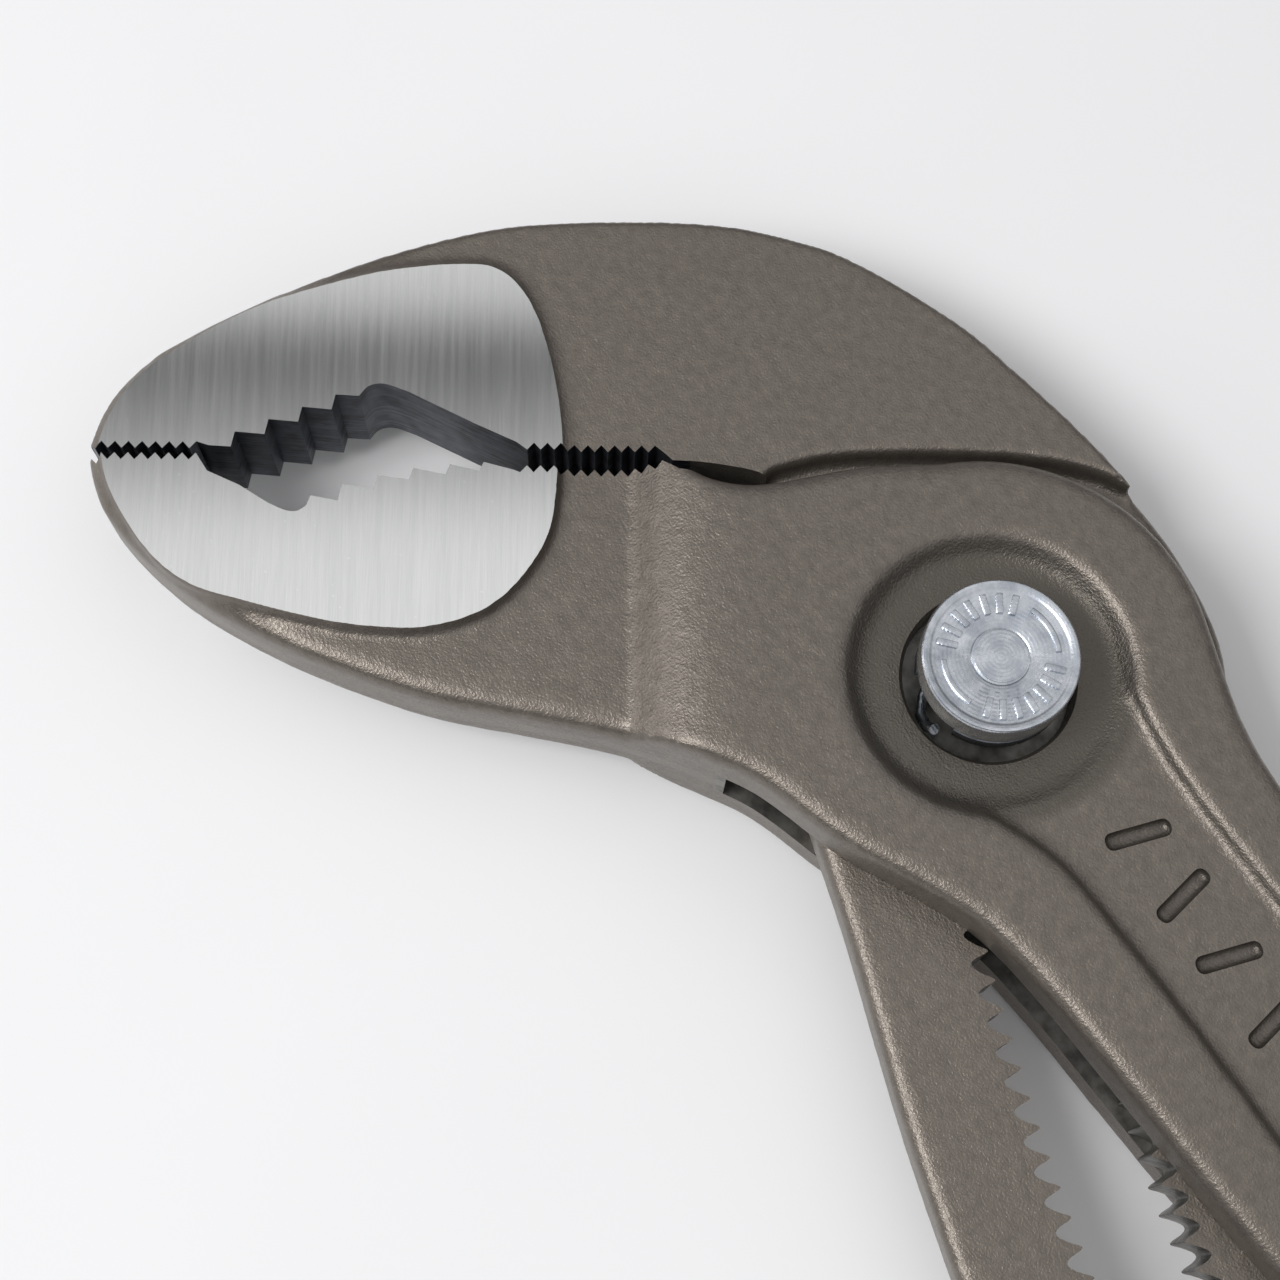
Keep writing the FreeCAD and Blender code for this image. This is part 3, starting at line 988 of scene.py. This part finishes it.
@dataclass
class UpperLimb(Limb):
    """Upper jaw, neck and slotted web that runs through the box joint, with its handle."""

    jaw_thick: float = 8.0
    web_thick: float = 4.4
    limb_half: float = 12.3
    slot_reach: float = 5.2

    def jaw(self) -> Outline:
        """The jaw and its crown, down to where it meets the web."""
        crown = flow([(-66.1, 17.6), (-64.7, 21.6), (-61.6, 25.2), (-57.6, 27.8), (-50.8, 31.2),
                      (-43.3, 34.2), (-35.7, 36.2), (-28.1, 36.8), (-20.4, 36.7), (-15.1, 35.9),
                      (-9.0, 33.8), (-0.8, 28.5), (3.6, 24.4), (8.4, 19.4), (12.3, 14.7)])
        seat = flow([(12.3, 14.7), (9.5, 16.3), (5.9, 17.2), (1.5, 17.7), (-5.9, 17.8), (-11.5, 17.4),
                     (-15.4, 16.3)])
        return crown[:-1] + seat + [(-16.5, 14.6), (-66.1, 14.6)]

    def web(self) -> Outline:
        """The slotted web, in the tool's frame, running into its grip."""
        side, beside = self.limb_half, self.slot.along
        left = flow(
            head([(-14.6, 20.0), (-16.1, 9.0), (-15.4, 0.0)])
            + [beside(side + 0.5, 5.0), beside(side, 10.0), beside(side, 16.0)]
            + [(-62.0, 26.9), (-80.0, 28.2), (-97.0, 28.9), (GRIP_RUN, 29.6)]
        )
        right = flow(
            [(GRIP_RUN, 15.0), (-97.0, 13.8), (-80.0, 7.4), (-62.0, 3.2)]
            + [beside(-side, 16.0), beside(-side, 9.0), beside(0.6 - side, 6.0)]
            + head([(16.7, -6.6), (18.2, -0.6), (17.9, 4.0), (16.0, 8.9), (12.9, 14.0), (8.0, 19.0)])
        )
        return left + right

    def blank(self) -> Solid:
        """The forging before it is machined."""
        pad = flow([(-65.2, 12.0), (-65.2, 18.2), (-63.8, 21.8), (-61.7, 24.3), (-54.4, 29.0),
                    (-47.8, 31.3), (-43.2, 32.4), (-36.4, 32.7), (-34.1, 31.0), (-32.6, 28.2),
                    (-31.3, 23.3), (-30.7, 18.5), (-30.7, 12.0)])
        made = plate(head(self.jaw()), self.jaw_thick, 1.7)
        return carve(made, Carve.JOIN, self.pad(pad), plate(self.web(), self.web_thick, 0.7, 2))

    def swell(self, x: float) -> float:
        """Lets the web grow smoothly to the handle's thickness behind the box joint."""
        first, last = -87.5, -100.0
        share = min(1.0, max(0.0, (first - x) / (first - last)))
        return 1 + (HANDLE_THICK / self.web_thick - 1) * share * share * (3 - 2 * share)

    def build(self) -> None:
        """Makes the limb and hands it over."""
        edge = self.teeth.upper()
        throat = flow([(-22.6, 17.1), (-20.6, 17.0), (-18.4, 16.7), (-16.2, 16.2), (-14.6, 15.4)], 0.6)
        below = edge + throat + [(-14.6, 10.0), (-75.0, 10.0), (-75.0, edge[0][1])]
        made = self.rough(Handle(-101.5, [21.9, 24.9, 26.2, 24.6]), below)
        carve(made, Carve.CUT, plate(self.slot.outline(-3, self.slot.settings + 2), THROUGH))
        self.dress(made)
        place(made, "upper_jaw_forging", "upper_limb", Slot.FORGED, "upper_jaw_limb")

    def machined(self, at: Spot) -> bool:
        """The slot's walls are milled."""
        middle = polar(-self.slot.radius, self.slot.start)
        away = abs(math.dist(at.centre[:2], middle) - self.slot.radius)
        in_slot = away < self.slot_reach and at.drawn[1] < 17.0 and -62.0 < at.centre.x < 10.0
        return in_slot and at.upright < 0.05


@dataclass
class LowerLimb(Limb):
    """Lower jaw, box joint with its two cheeks, and handle with its sunk panel."""

    jaw_thick: float = 7.2
    cheek_r: float = 16.5
    window: float = 4.6
    panel_depth: float = 0.95
    well_r: float = 6.2
    ring_r: float = 8.9
    ring_depth: float = 1.35
    marks: int = 5

    def outline(self) -> Outline:
        """The whole limb, with stock left for the teeth."""
        belly = head([(-66.1, 16.9), (-65.1, 13.8), (-62.5, 10.5), (-59.2, 7.6), (-55.7, 5.25),
                      (-50.9, 2.75), (-45.9, 0.7), (-39.9, -1.25), (-34.0, -2.4), (-28.0, -3.6),
                      (-24.0, -4.7), (-20.0, -6.3), (-16.5, -8.0)])
        left = [(-5.4, 15.5), (-10.0, 12.8), (-15.0, 10.2), (-21.0, 8.8), (-31.0, 7.4), (-44.0, 5.6),
                (-54.0, 3.3), (-66.0, 0.4), (-88.0, -3.4), (GRIP_RUN, -6.2)]
        right = [(GRIP_RUN, -21.2), (-88.0, -18.4), (-66.0, -16.8), (-44.0, -15.1), (-28.0, -14.0),
                 (-17.6, -13.6), (-12.0, -13.9)]
        cheek = head(arc((0.0, 0.0), self.cheek_r, 14.0, 100.0))
        throat = head([(-9.0, 15.9), (-13.5, 15.0), (-17.0, 14.5), (-20.6, 15.3), (-22.6, 17.0),
                       (-24.0, 19.0)])
        return flow(belly + left) + flow(right + cheek + throat) + head([(-66.1, 19.5)])

    def shoulder(self) -> Solid:
        """Space of the thick box joint, with the broad shoulder that faces the jaw."""
        half, jaw = CHEEK_Z / 2, self.jaw_thick / 2
        slope = [(-25.6, jaw), (-24.9, jaw + 0.7), (-23.5, jaw + 2.0), (-22.1, jaw + 2.75),
                 (-20.2, half - 0.12), (-17.8, half + 0.02)]
        side = [(x, MID_Z + z) for x, z in slope] + [(FAR, MID_Z + half + 0.02)]
        side += [(x, 2 * MID_Z - z) for x, z in side[::-1]]
        return bar(side, HEAD_TURN)

    def panel(self) -> Outline:
        """Sunk panel of the handle, running into the ring round the button."""
        left = [(-3.0, 8.6), (-5.0, 8.0), (-9.3, 5.3), (-14.0, 3.2), (-20.0, 2.3), (-32.0, 1.1),
                (-44.0, 0.0), (-60.0, -3.0), (-84.0, -7.4)]
        right = [(-84.0, -14.2), (-60.0, -11.6), (-44.0, -10.4), (-28.0, -9.2), (-19.5, -8.3),
                 (-12.0, -7.8), (-6.1, -8.3), (-2.0, -9.4)]
        return flow(left) + flow(right)

    def blank(self) -> Solid:
        """The forging before it is machined."""
        outline, panel = self.outline(), self.panel()
        made = carve(slab(outline, 0.0, CHEEK_Z, 1.9), Carve.KEEP, self.shoulder())
        ahead = slab(head([(-80.0, -40.0), (-17.0, -40.0), (-17.0, 40.0), (-80.0, 40.0)]), -20.0, 40.0)
        jaw = carve(plate(outline, self.jaw_thick, 1.6), Carve.KEEP, ahead)
        pad = flow([(-65.0, 21.0), (-65.0, 16.8), (-63.8, 13.5), (-60.8, 9.2), (-57.7, 6.9), (-54.1, 5.8),
                    (-47.5, 4.2), (-42.4, 3.7), (-39.5, 4.0), (-35.9, 5.4), (-33.1, 8.3), (-31.5, 11.4),
                    (-31.0, 16.5), (-31.0, 21.0)])
        carve(made, Carve.JOIN, jaw, self.pad(pad))
        floor, top = CHEEK_Z - self.ring_depth, CHEEK_Z + 2.0
        ring = turned([(0, floor), (self.ring_r, floor), (self.ring_r + 0.7, floor + 0.3),
                       (self.ring_r + 1.9, CHEEK_Z + 0.1), (self.ring_r + 2.2, top), (0, top)])
        return carve(made, Carve.CUT, slab(panel, CHEEK_Z - self.panel_depth, CHEEK_Z + 5.0, 0.5, 2),
                     slab(panel, -5.0, self.panel_depth, 0.5, 2), ring)

    def swell(self, x: float) -> float:
        """Thins the handle evenly towards its grip."""
        first, last = -28.0, -90.0
        share = min(1.0, max(0.0, (first - x) / (first - last)))
        return 1 - (1 - HANDLE_THICK / CHEEK_Z) * share

    def box(self) -> Solid:
        """Window between the cheeks where the slotted limb runs and turns."""
        inner, outer = -12.9, 45.0
        run = [self.slot.along(inner, -10.0 + i) for i in range(30)]
        run += [self.slot.along(outer, 19.0 - i) for i in range(30)]
        made = disc(19.7, MID_Z - self.window / 2, MID_Z + self.window / 2)
        carve(made, Carve.JOIN, plate(run, self.window))
        room = [(-19.2, -14.0), (-17.6, 14.0), (-17.6, 40.0), (90.0, 40.0), (90.0, -90.0), (-19.2, -90.0)]
        return carve(made, Carve.KEEP, plate(head(room), self.window + 10.0))

    def stamps(self) -> list[Solid]:
        """A row of plain slanted bars stamped in the panel."""
        tools = []
        for index in range(self.marks):
            bm = block((1.3, 4.9, 2.0), 0.55, 4)
            swing(bm, math.radians(14.0 * (2 * (index % 2) - 1)))
            x, y = -15.0 - 5.2 * index, -2.9 - 0.35 * index
            floor = MID_Z + (CHEEK_Z - self.panel_depth - MID_Z) * self.swell(x)
            bmesh.ops.translate(bm, verts=bm.verts, vec=(x, y, floor + 0.45))
            tools.append(piece("stamp", bm))
        return tools

    def build(self) -> None:
        """Makes the limb and hands it over."""
        edge = self.teeth.lower()
        above = edge + [(-20.9, 15.4), (-20.9, 25.0), (-75.0, 25.0), (-75.0, edge[0][1])]
        made = self.rough(Handle(-101.5, [-13.3, -15.9, -17.8, -17.2]), above)
        mouth, top = self.well_r + 0.35, CHEEK_Z + 3
        well = turned([(0, 10.1), (self.well_r, 10.1), (self.well_r, CHEEK_Z - 1.6),
                       (mouth, CHEEK_Z - 1.25), (mouth, top), (0, top)])
        back = turned([(0, -3.0), (5.1, -3.0), (5.1, 0.0), (4.8, 0.3), (4.8, MID_Z), (0, MID_Z)])
        carve(made, Carve.CUT, well, disc(3.3, MID_Z, 12.0), back, self.box(), *self.stamps())
        self.dress(made)
        place(made, "lower_jaw_forging", "lower_limb", Slot.FORGED, "lower_jaw_limb")

    def machined(self, at: Spot) -> bool:
        """The window and the bores are milled."""
        roof = at.upright > 0.999
        wall = at.upright < 0.02 and at.drawn[0] > -19.5
        in_window = at.lift < self.window / 2 + 0.01 and (roof or wall)
        in_bore = math.hypot(*at.drawn) < self.well_r + 0.02 and at.centre.z < CHEEK_Z - 1.55
        return in_window or in_bore


# ---- bolt, button and spring --------------------------------------------
@dataclass
class PushButton:
    """Button pressed on the hinge bolt: a plated cup with a rolled edge, two raised arcs and
    grip ribs round the riveted end of the bolt."""

    finishes: Finishes
    skirt: float = 4.5
    wall: float = 0.95
    roof: float = 1.5
    relief: float = 0.2

    def arc_rib(self, first: float, last: float, radius: float, width: float) -> Solid:
        """A raised arc on the face.

        Args:
            first: Its first direction in degrees.
            last: Its last direction.
            radius: Its middle.
            width: How wide it is.

        Returns:
            The arc.
        """
        outer, inner = radius + width / 2, radius - width / 2
        outline = arc((0, 0), outer, first, last, 3) + arc((0, 0), inner, last, first, 3)
        return slab(outline, BUTTON_TOP - 0.5, BUTTON_TOP - 0.02, 0.1, 2)

    def grip_rib(self, degrees: float) -> Solid:
        """A short rib along a radius of the face.

        Args:
            degrees: Its direction.

        Returns:
            The rib.
        """
        bm = block((1.5, 0.5, 0.5), 0.08, 2)
        bmesh.ops.translate(bm, verts=bm.verts, vec=(3.85, 0, BUTTON_TOP - 0.27))
        swing(bm, math.radians(degrees))
        return piece("rib", bm)

    def build(self) -> None:
        """Makes the button and hands it over."""
        top, r = BUTTON_TOP - 0.02 - self.relief, BUTTON_R
        low = BUTTON_TOP - self.skirt
        inner = r - self.wall
        under = BUTTON_TOP - self.roof
        profile = [
            (0, top - 0.05), (1.7, top - 0.02), (2.05, top - 0.12), (2.3, top), (4.75, top),
            (5.0, top + 0.10), (5.2, top + self.relief), (r - 0.16, top + self.relief),
            (r - 0.04, top + 0.06), (r, top - 0.1), (r, BUTTON_TOP - 2.5),
            (r - 0.22, BUTTON_TOP - 2.62), (r - 0.22, BUTTON_TOP - 3.0),
            (r - 0.08, BUTTON_TOP - 3.1), (r - 0.08, low + 0.15), (r - 0.25, low), (inner, low),
            (inner, under), (3.2, under), (3.2, under - 1.0), (0, under - 1.0)]
        made = turned(profile, 96)
        ribs = [self.arc_rib(a, a + 52.0, 4.05, 0.42) for a in (64.0, 244.0)]
        ribs += [self.grip_rib(start + 15.4 * index) for start in (-46.0, 134.0) for index in range(7)]
        carve(made, Carve.JOIN, *ribs)
        notch = arc((0, 0), 4.0, 62.0, 116.0) + arc((0, 0), 7.0, 116.0, 62.0)
        carve(made, Carve.CUT, slab(notch, low - 0.5, low + 1.7))
        shade(made, 30.0)
        # Painted shade: faces below the groove, which stand in the well, take the darker zinc.
        split = BUTTON_TOP - 2.55
        dress(made, [self.finishes.zinc, self.finishes.zinc_well_shade], lambda f: int(f.center.z < split))
        place(made, "button_cap", "bolt", Slot.BUTTON, "push_button")


@dataclass
class HingeBolt:
    """Hinge bolt with the teeth that lock in the slot, chamfered at its foot."""

    finishes: Finishes
    slot: CurvedSlot = field(default_factory=CurvedSlot)
    journal: float = 4.75
    waist: float = 3.25
    fit: float = 0.12

    def build(self) -> None:
        """Makes the bolt and hands it over."""
        low = MID_Z - 2.3
        body = turned([(0, 0.02), (1.1, 0.02), (1.35, 0.3), (1.6, 0.02), (self.journal - 0.45, 0.02),
                       (self.journal, 0.45), (self.journal, low), (self.waist, low), (self.waist, 15.4),
                       (1.9, 15.5), (1.9, BUTTON_TOP - 0.16), (0, BUTTON_TOP - 0.12)], 72)
        tight = CurvedSlot(tip=self.slot.tip - self.fit, depth=self.slot.depth)
        teeth = slab(tight.outline(-4, 4), low - 0.2, low + 3.0)
        carve(teeth, Carve.KEEP, disc(self.journal, low - 0.2, low + 3.0))
        carve(body, Carve.JOIN, teeth)
        shade(body, 30.0)
        dress(body, [self.finishes.milled, self.finishes.zinc], lambda f: int(f.center.z > CHEEK_Z))
        place(body, "toothed_hinge_bolt", "bolt", Slot.BOLT, "hinge_bolt")


@dataclass
class ButtonSpring:
    """Compression spring that lifts the button."""

    finishes: Finishes
    wire: float = 0.8
    turns: float = 3.0
    mean_r: float = 4.15

    def wound(self, path: Sequence[tuple[float, float, float]]) -> Solid:
        """Round wire along a path.

        Args:
            path: Points of its centre line.

        Returns:
            The wire.
        """
        line = bpy.data.curves.new("wire", "CURVE")
        line.dimensions = "3D"
        line.bevel_depth = self.wire / 2
        line.bevel_resolution = 4
        line.use_fill_caps = True
        spline = line.splines.new("POLY")
        spline.points.add(len(path) - 1)
        for point, place in zip(spline.points, path):
            point.co = (*place, 1.0)
        source = bpy.data.objects.new("wire", line)
        bpy.context.scene.collection.objects.link(source)
        bpy.context.view_layer.update()
        mesh = bpy.data.meshes.new_from_object(source.evaluated_get(bpy.context.evaluated_depsgraph_get()))
        made = bpy.data.objects.new("spring", mesh)
        bpy.context.scene.collection.objects.link(made)
        bpy.data.objects.remove(source)
        return made

    def build(self) -> None:
        """Makes the spring and hands it over."""
        foot, head_z = (corner.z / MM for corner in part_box("button_spring"))
        low = foot + self.wire / 2 + 0.3
        high = head_z - self.wire / 2 - 0.3
        count = round(self.turns * 32)
        coil = []
        for index in range(count + 1):
            x, y = polar(self.mean_r, 60.0 - 360.0 * self.turns * (1 - index / count))
            coil.append((x, y, low + (high - low) * (1 - index / count)))
        tail = ((4.8, 74.0, 0.1), (5.5, 88.0, 0.4), (5.72, 98.0, 1.0), (5.74, 104.0, 1.9))
        coil += [(*polar(radius, turn), low + rise) for radius, turn, rise in tail]
        made = self.wound(coil)
        shade(made, 50.0)
        dress(made, [self.finishes.spring], lambda f: 0)
        place(made, "button_lift_spring", "slot_carrier", Slot.SPRING, "button_spring")
        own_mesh(made)


# ---- grips --------------------------------------------------------------
@dataclass
class Grip:
    """Two-part grip on one handle: a hard core with a flared collar, and a soft sleeve with
    finger grooves and a long window that shows the core."""

    finishes: Finishes
    side: str
    body: str
    handle: Handle
    front: float = -101.0
    collar: float = 5.0
    outer: float = 1.0

    def loft(self, stations: Sequence[tuple[float, float, float]], thick: float,
             power: float) -> Solid:
        """Skins rounded sections along the handle.

        Args:
            stations: For each section, its place along the grip, half width and share of the thickness.
            thick: Full thickness.
            power: Power of the section: 2 is an ellipse, more is squarer.

        Returns:
            The closed skin.
        """
        line = self.handle.line(HANDLE_END)
        bm = bmesh.new()
        loops = []
        for x, half, share in stations:
            y = self.height(line, x)
            ring = bmesh.ops.create_circle(bm, cap_ends=False, segments=40, radius=1.0)["verts"]
            for vert in ring:
                a, b = vert.co.x, vert.co.y
                fat = (abs(a) ** power + abs(b) ** power) ** (-1 / power)
                vert.co = (x, y + a * fat * half, MID_Z + b * fat * share * thick / 2)
            loops.append(list({e for v in ring for e in v.link_edges}))
        for first, last in zip(loops, loops[1:]):
            bmesh.ops.bridge_loops(bm, edges=first + last)
        bmesh.ops.holes_fill(bm, edges=[e for e in bm.edges if e.is_boundary], sides=0)
        return piece("grip", bm)

    def height(self, line: Outline, x: float) -> float:
        """Height of the centre line at a place along the tool.

        Args:
            line: The centre line.
            x: The place.

        Returns:
            The height, held past both ends.
        """
        for (x0, y0), (x1, y1) in zip(line, line[1:]):
            if x1 <= x <= x0:
                return y0 + (y1 - y0) * (x - x0) / (x1 - x0)
        return line[-1][1] if x < line[-1][0] else line[0][1]

    def sleeve_stations(self) -> list[tuple[float, float, float]]:
        """Sections of the sleeve from its front lip to its round end."""
        start, end, count = self.front - self.collar, HANDLE_END - 4.0, 46
        stations = []
        for index in range(count + 1):
            t = index / count
            x = start + (end - start) * t
            palm = 1.5 * math.sin(math.pi * min(1.0, t * 1.15)) ** 2
            bead = 0.55 * math.exp(-((t - 0.03) / 0.035) ** 2)
            swell = 9.9 + palm + bead
            close = min(1.0, (x - (HANDLE_END - 4.5)) / 11.0)
            round_end = math.sqrt(max(0.0, 1 - (1 - close) ** 2))
            lip = min(1.0, 0.90 + t * 9)
            stations.append((x, swell * max(round_end, 0.18) * lip, max(0.25, round_end ** 0.6) * lip))
        return stations

    def build(self) -> None:
        """Makes both parts and hands them over."""
        x0 = self.front
        core = self.loft([(x0, 8.2, 0.90), (x0 - 0.6, 9.0, 0.97), (x0 - 1.8, 9.3, 1.0),
                          (x0 - 3.4, 9.0, 0.97), (x0 - 5.5, 8.8, 0.93), (x0 - 30.0, 8.8, 0.93),
                          (x0 - 60.0, 8.6, 0.93), (HANDLE_END + 1.0, 7.0, 0.8)], 11.9, 4.0)
        sleeve = self.loft(self.sleeve_stations(), 13.5, 3.2)
        self.window(sleeve, core)
        for made, finish, name, slot in ((core, self.finishes.core, "core", Slot.CORE),
                                         (sleeve, self.finishes.sleeve, "sleeve", Slot.SLEEVE)):
            shade(made, 40.0)
            dress(made, [finish], lambda f: 0)
            place(made, f"{self.side}_grip_{name}_moulding", self.body, slot, f"{self.side}_grip_{name}")

    def window(self, sleeve: Solid, core: Solid) -> None:
        """Opens the sleeve over a raised island of the core, and presses the finger ribs in.

        Args:
            sleeve: The soft part.
            core: The hard part.
        """
        line = self.handle.line(HANDLE_END)
        first, last = self.front - 14.0, HANDLE_END + 22.0
        spots = [first + (last - first) * i / 16 for i in range(17)]
        bulge = [4.6 * math.sin(math.pi * i / 16) ** 0.55 for i in range(17)]
        rim = [(x, self.height(line, x) + rise) for x, rise in zip(spots, bulge)]
        low = [(x, self.height(line, x) - rise) for x, rise in zip(spots, bulge)]
        lens = flow(rim)[:-1] + flow(low[::-1])[:-1]
        for z0, z1 in ((MID_Z + 5.6, MID_Z + 9.0), (MID_Z - 9.0, MID_Z - 5.6)):
            carve(sleeve, Carve.CUT, slab(lens, z0, z1))
        carve(core, Carve.JOIN, plate(grown(lens, -0.25), 12.9, 0.5, 3))
        for index in range(9):
            x = self.front - 22.0 - 6.4 * index
            y = self.height(line, x) + self.outer * 13.1
            carve(sleeve, Carve.CUT, plate(arc((x, y), 2.3, 0.0, 352.0, 8.0), 18.0))


# ---- studio -------------------------------------------------------------
@dataclass
class Studio:
    """White sweep, soft light and the camera above the head of the tool."""

    lens: float = 66.1
    eye: tuple[float, float, float] = (-25.66, 46.79, 174.42)
    right: tuple[float, float, float] = (-0.49993, -0.86591, 0.01631)
    up: tuple[float, float, float] = (0.83231, -0.47516, 0.28544)
    tent: float = 0.90

    def camera(self) -> None:
        """Looks down at the jaws with the handles running off the lower right."""
        data = bpy.data.cameras.new("camera")
        data.lens = self.lens
        data.sensor_width = 36.0
        data.clip_start = 0.01
        data.clip_end = 20.0
        made = bpy.data.objects.new("camera", data)
        bpy.context.scene.collection.objects.link(made)
        right = Vector(self.right).normalized()
        up = Vector(self.up)
        up = (up - right * up.dot(right)).normalized()
        turn = Matrix((right, up, right.cross(up))).transposed().to_4x4()
        made.matrix_world = Matrix.Translation(Vector(self.eye) * MM) @ turn
        bpy.context.scene.camera = made

    def sky(self, world: bpy.types.World) -> None:
        """Lights the tent: white cloth all round, with one dark seam that the ground faces mirror.

        Args:
            world: The world, with its nodes.
        """
        tree = world.node_tree
        across = Vector((self.up[0], self.up[1], 0.0)).normalized()
        toward = add_node(tree, "ShaderNodeTexCoord").outputs["Generated"]
        dot = add_node(tree, "ShaderNodeVectorMath", {0: toward, 1: across}, operation="DOT_PRODUCT")
        height = add_node(tree, "ShaderNodeSeparateXYZ", {0: toward}).outputs["Z"]
        lean = add_node(tree, "ShaderNodeMath", {0: dot.outputs["Value"], 1: height}, operation="DIVIDE")
        first, last = -1.0, 1.5
        span = add_node(tree, "ShaderNodeMapRange",
                        {"Value": lean.outputs[0], "From Min": first, "From Max": last})
        ramp = add_node(tree, "ShaderNodeValToRGB", {0: span.outputs[0]})
        stops = ((first, 0.75), (0.05, 0.80), (0.20, 1.0), (0.350, 0.95), (0.385, 0.44), (0.412, 0.30),
                 (0.431, 0.07), (0.447, 0.07), (0.459, 0.80), (0.60, 0.95), (1.2, 0.60))
        while len(ramp.color_ramp.elements) < len(stops):
            ramp.color_ramp.elements.new(0.5)
        for stop, (where, glow) in zip(ramp.color_ramp.elements, stops):
            stop.position = (where - first) / (last - first)
            stop.color = (glow, glow, glow * 1.01, 1.0)
        dim = add_node(tree, "ShaderNodeMapRange",
                       {"Value": height, "From Min": 0.30, "From Max": 0.80, "To Min": 0.20})
        tint = add_node(tree, "ShaderNodeVectorMath", {0: ramp.outputs[0], "Scale": dim.outputs[0]},
                        operation="SCALE")
        give(tree, tree.nodes["Background"].inputs["Color"], tint.outputs[0])
        give(tree, tree.nodes["Background"].inputs["Strength"], self.tent)

    def light(self, name: str, where: Sequence[float], size: float, watts: float) -> None:
        """Hangs a square soft box that points at the tool.

        Args:
            name: Its name.
            where: Where it hangs, in metres.
            size: Its width in metres.
            watts: Its power.
        """
        data = bpy.data.lights.new(name, "AREA")
        data.size = size
        data.energy = watts
        made = bpy.data.objects.new(name, data)
        made.location = where
        made.rotation_euler = (-Vector(where)).to_track_quat("-Z", "Y").to_euler()
        bpy.context.scene.collection.objects.link(made)

    def build(self) -> None:
        """Sets up the floor, light and camera."""
        scene = bpy.context.scene
        scene.view_settings.view_transform = "Standard"
        world = bpy.data.worlds.new("sky")
        world.use_nodes = True
        self.sky(world)
        scene.world = world
        bm = bmesh.new()
        bmesh.ops.create_grid(bm, x_segments=4, y_segments=4, size=3.0)
        floor = piece("floor", bm)
        floor.data.transform(Matrix.Translation((0, 0, -0.0004)))
        floor.data.materials.append(StudioWhite().build())
        self.light("key", (0.10, 0.46, 0.62), 0.30, 3.15)
        self.light("rim", (0.50, 0.55, 0.22), 0.25, 0.9)
        self.camera()


def main() -> None:
    """Builds the tool piece by piece."""
    logging.basicConfig(level=logging.INFO, format="%(name)s %(message)s")
    finishes = Finishes()
    upper_handle = Handle(-98.0, [21.4, 24.9, 26.2, 24.6])
    lower_handle = Handle(-88.0, [-10.9, -15.6, -17.8, -17.2])
    UpperLimb(finishes).build()
    LowerLimb(finishes).build()
    HingeBolt(finishes).build()
    PushButton(finishes).build()
    ButtonSpring(finishes).build()
    Grip(finishes, "upper", "upper_limb", upper_handle, outer=1.0).build()
    Grip(finishes, "lower", "lower_limb", lower_handle, outer=-1.0).build()
    Studio().build()


if __name__ == "__main__":
    main()
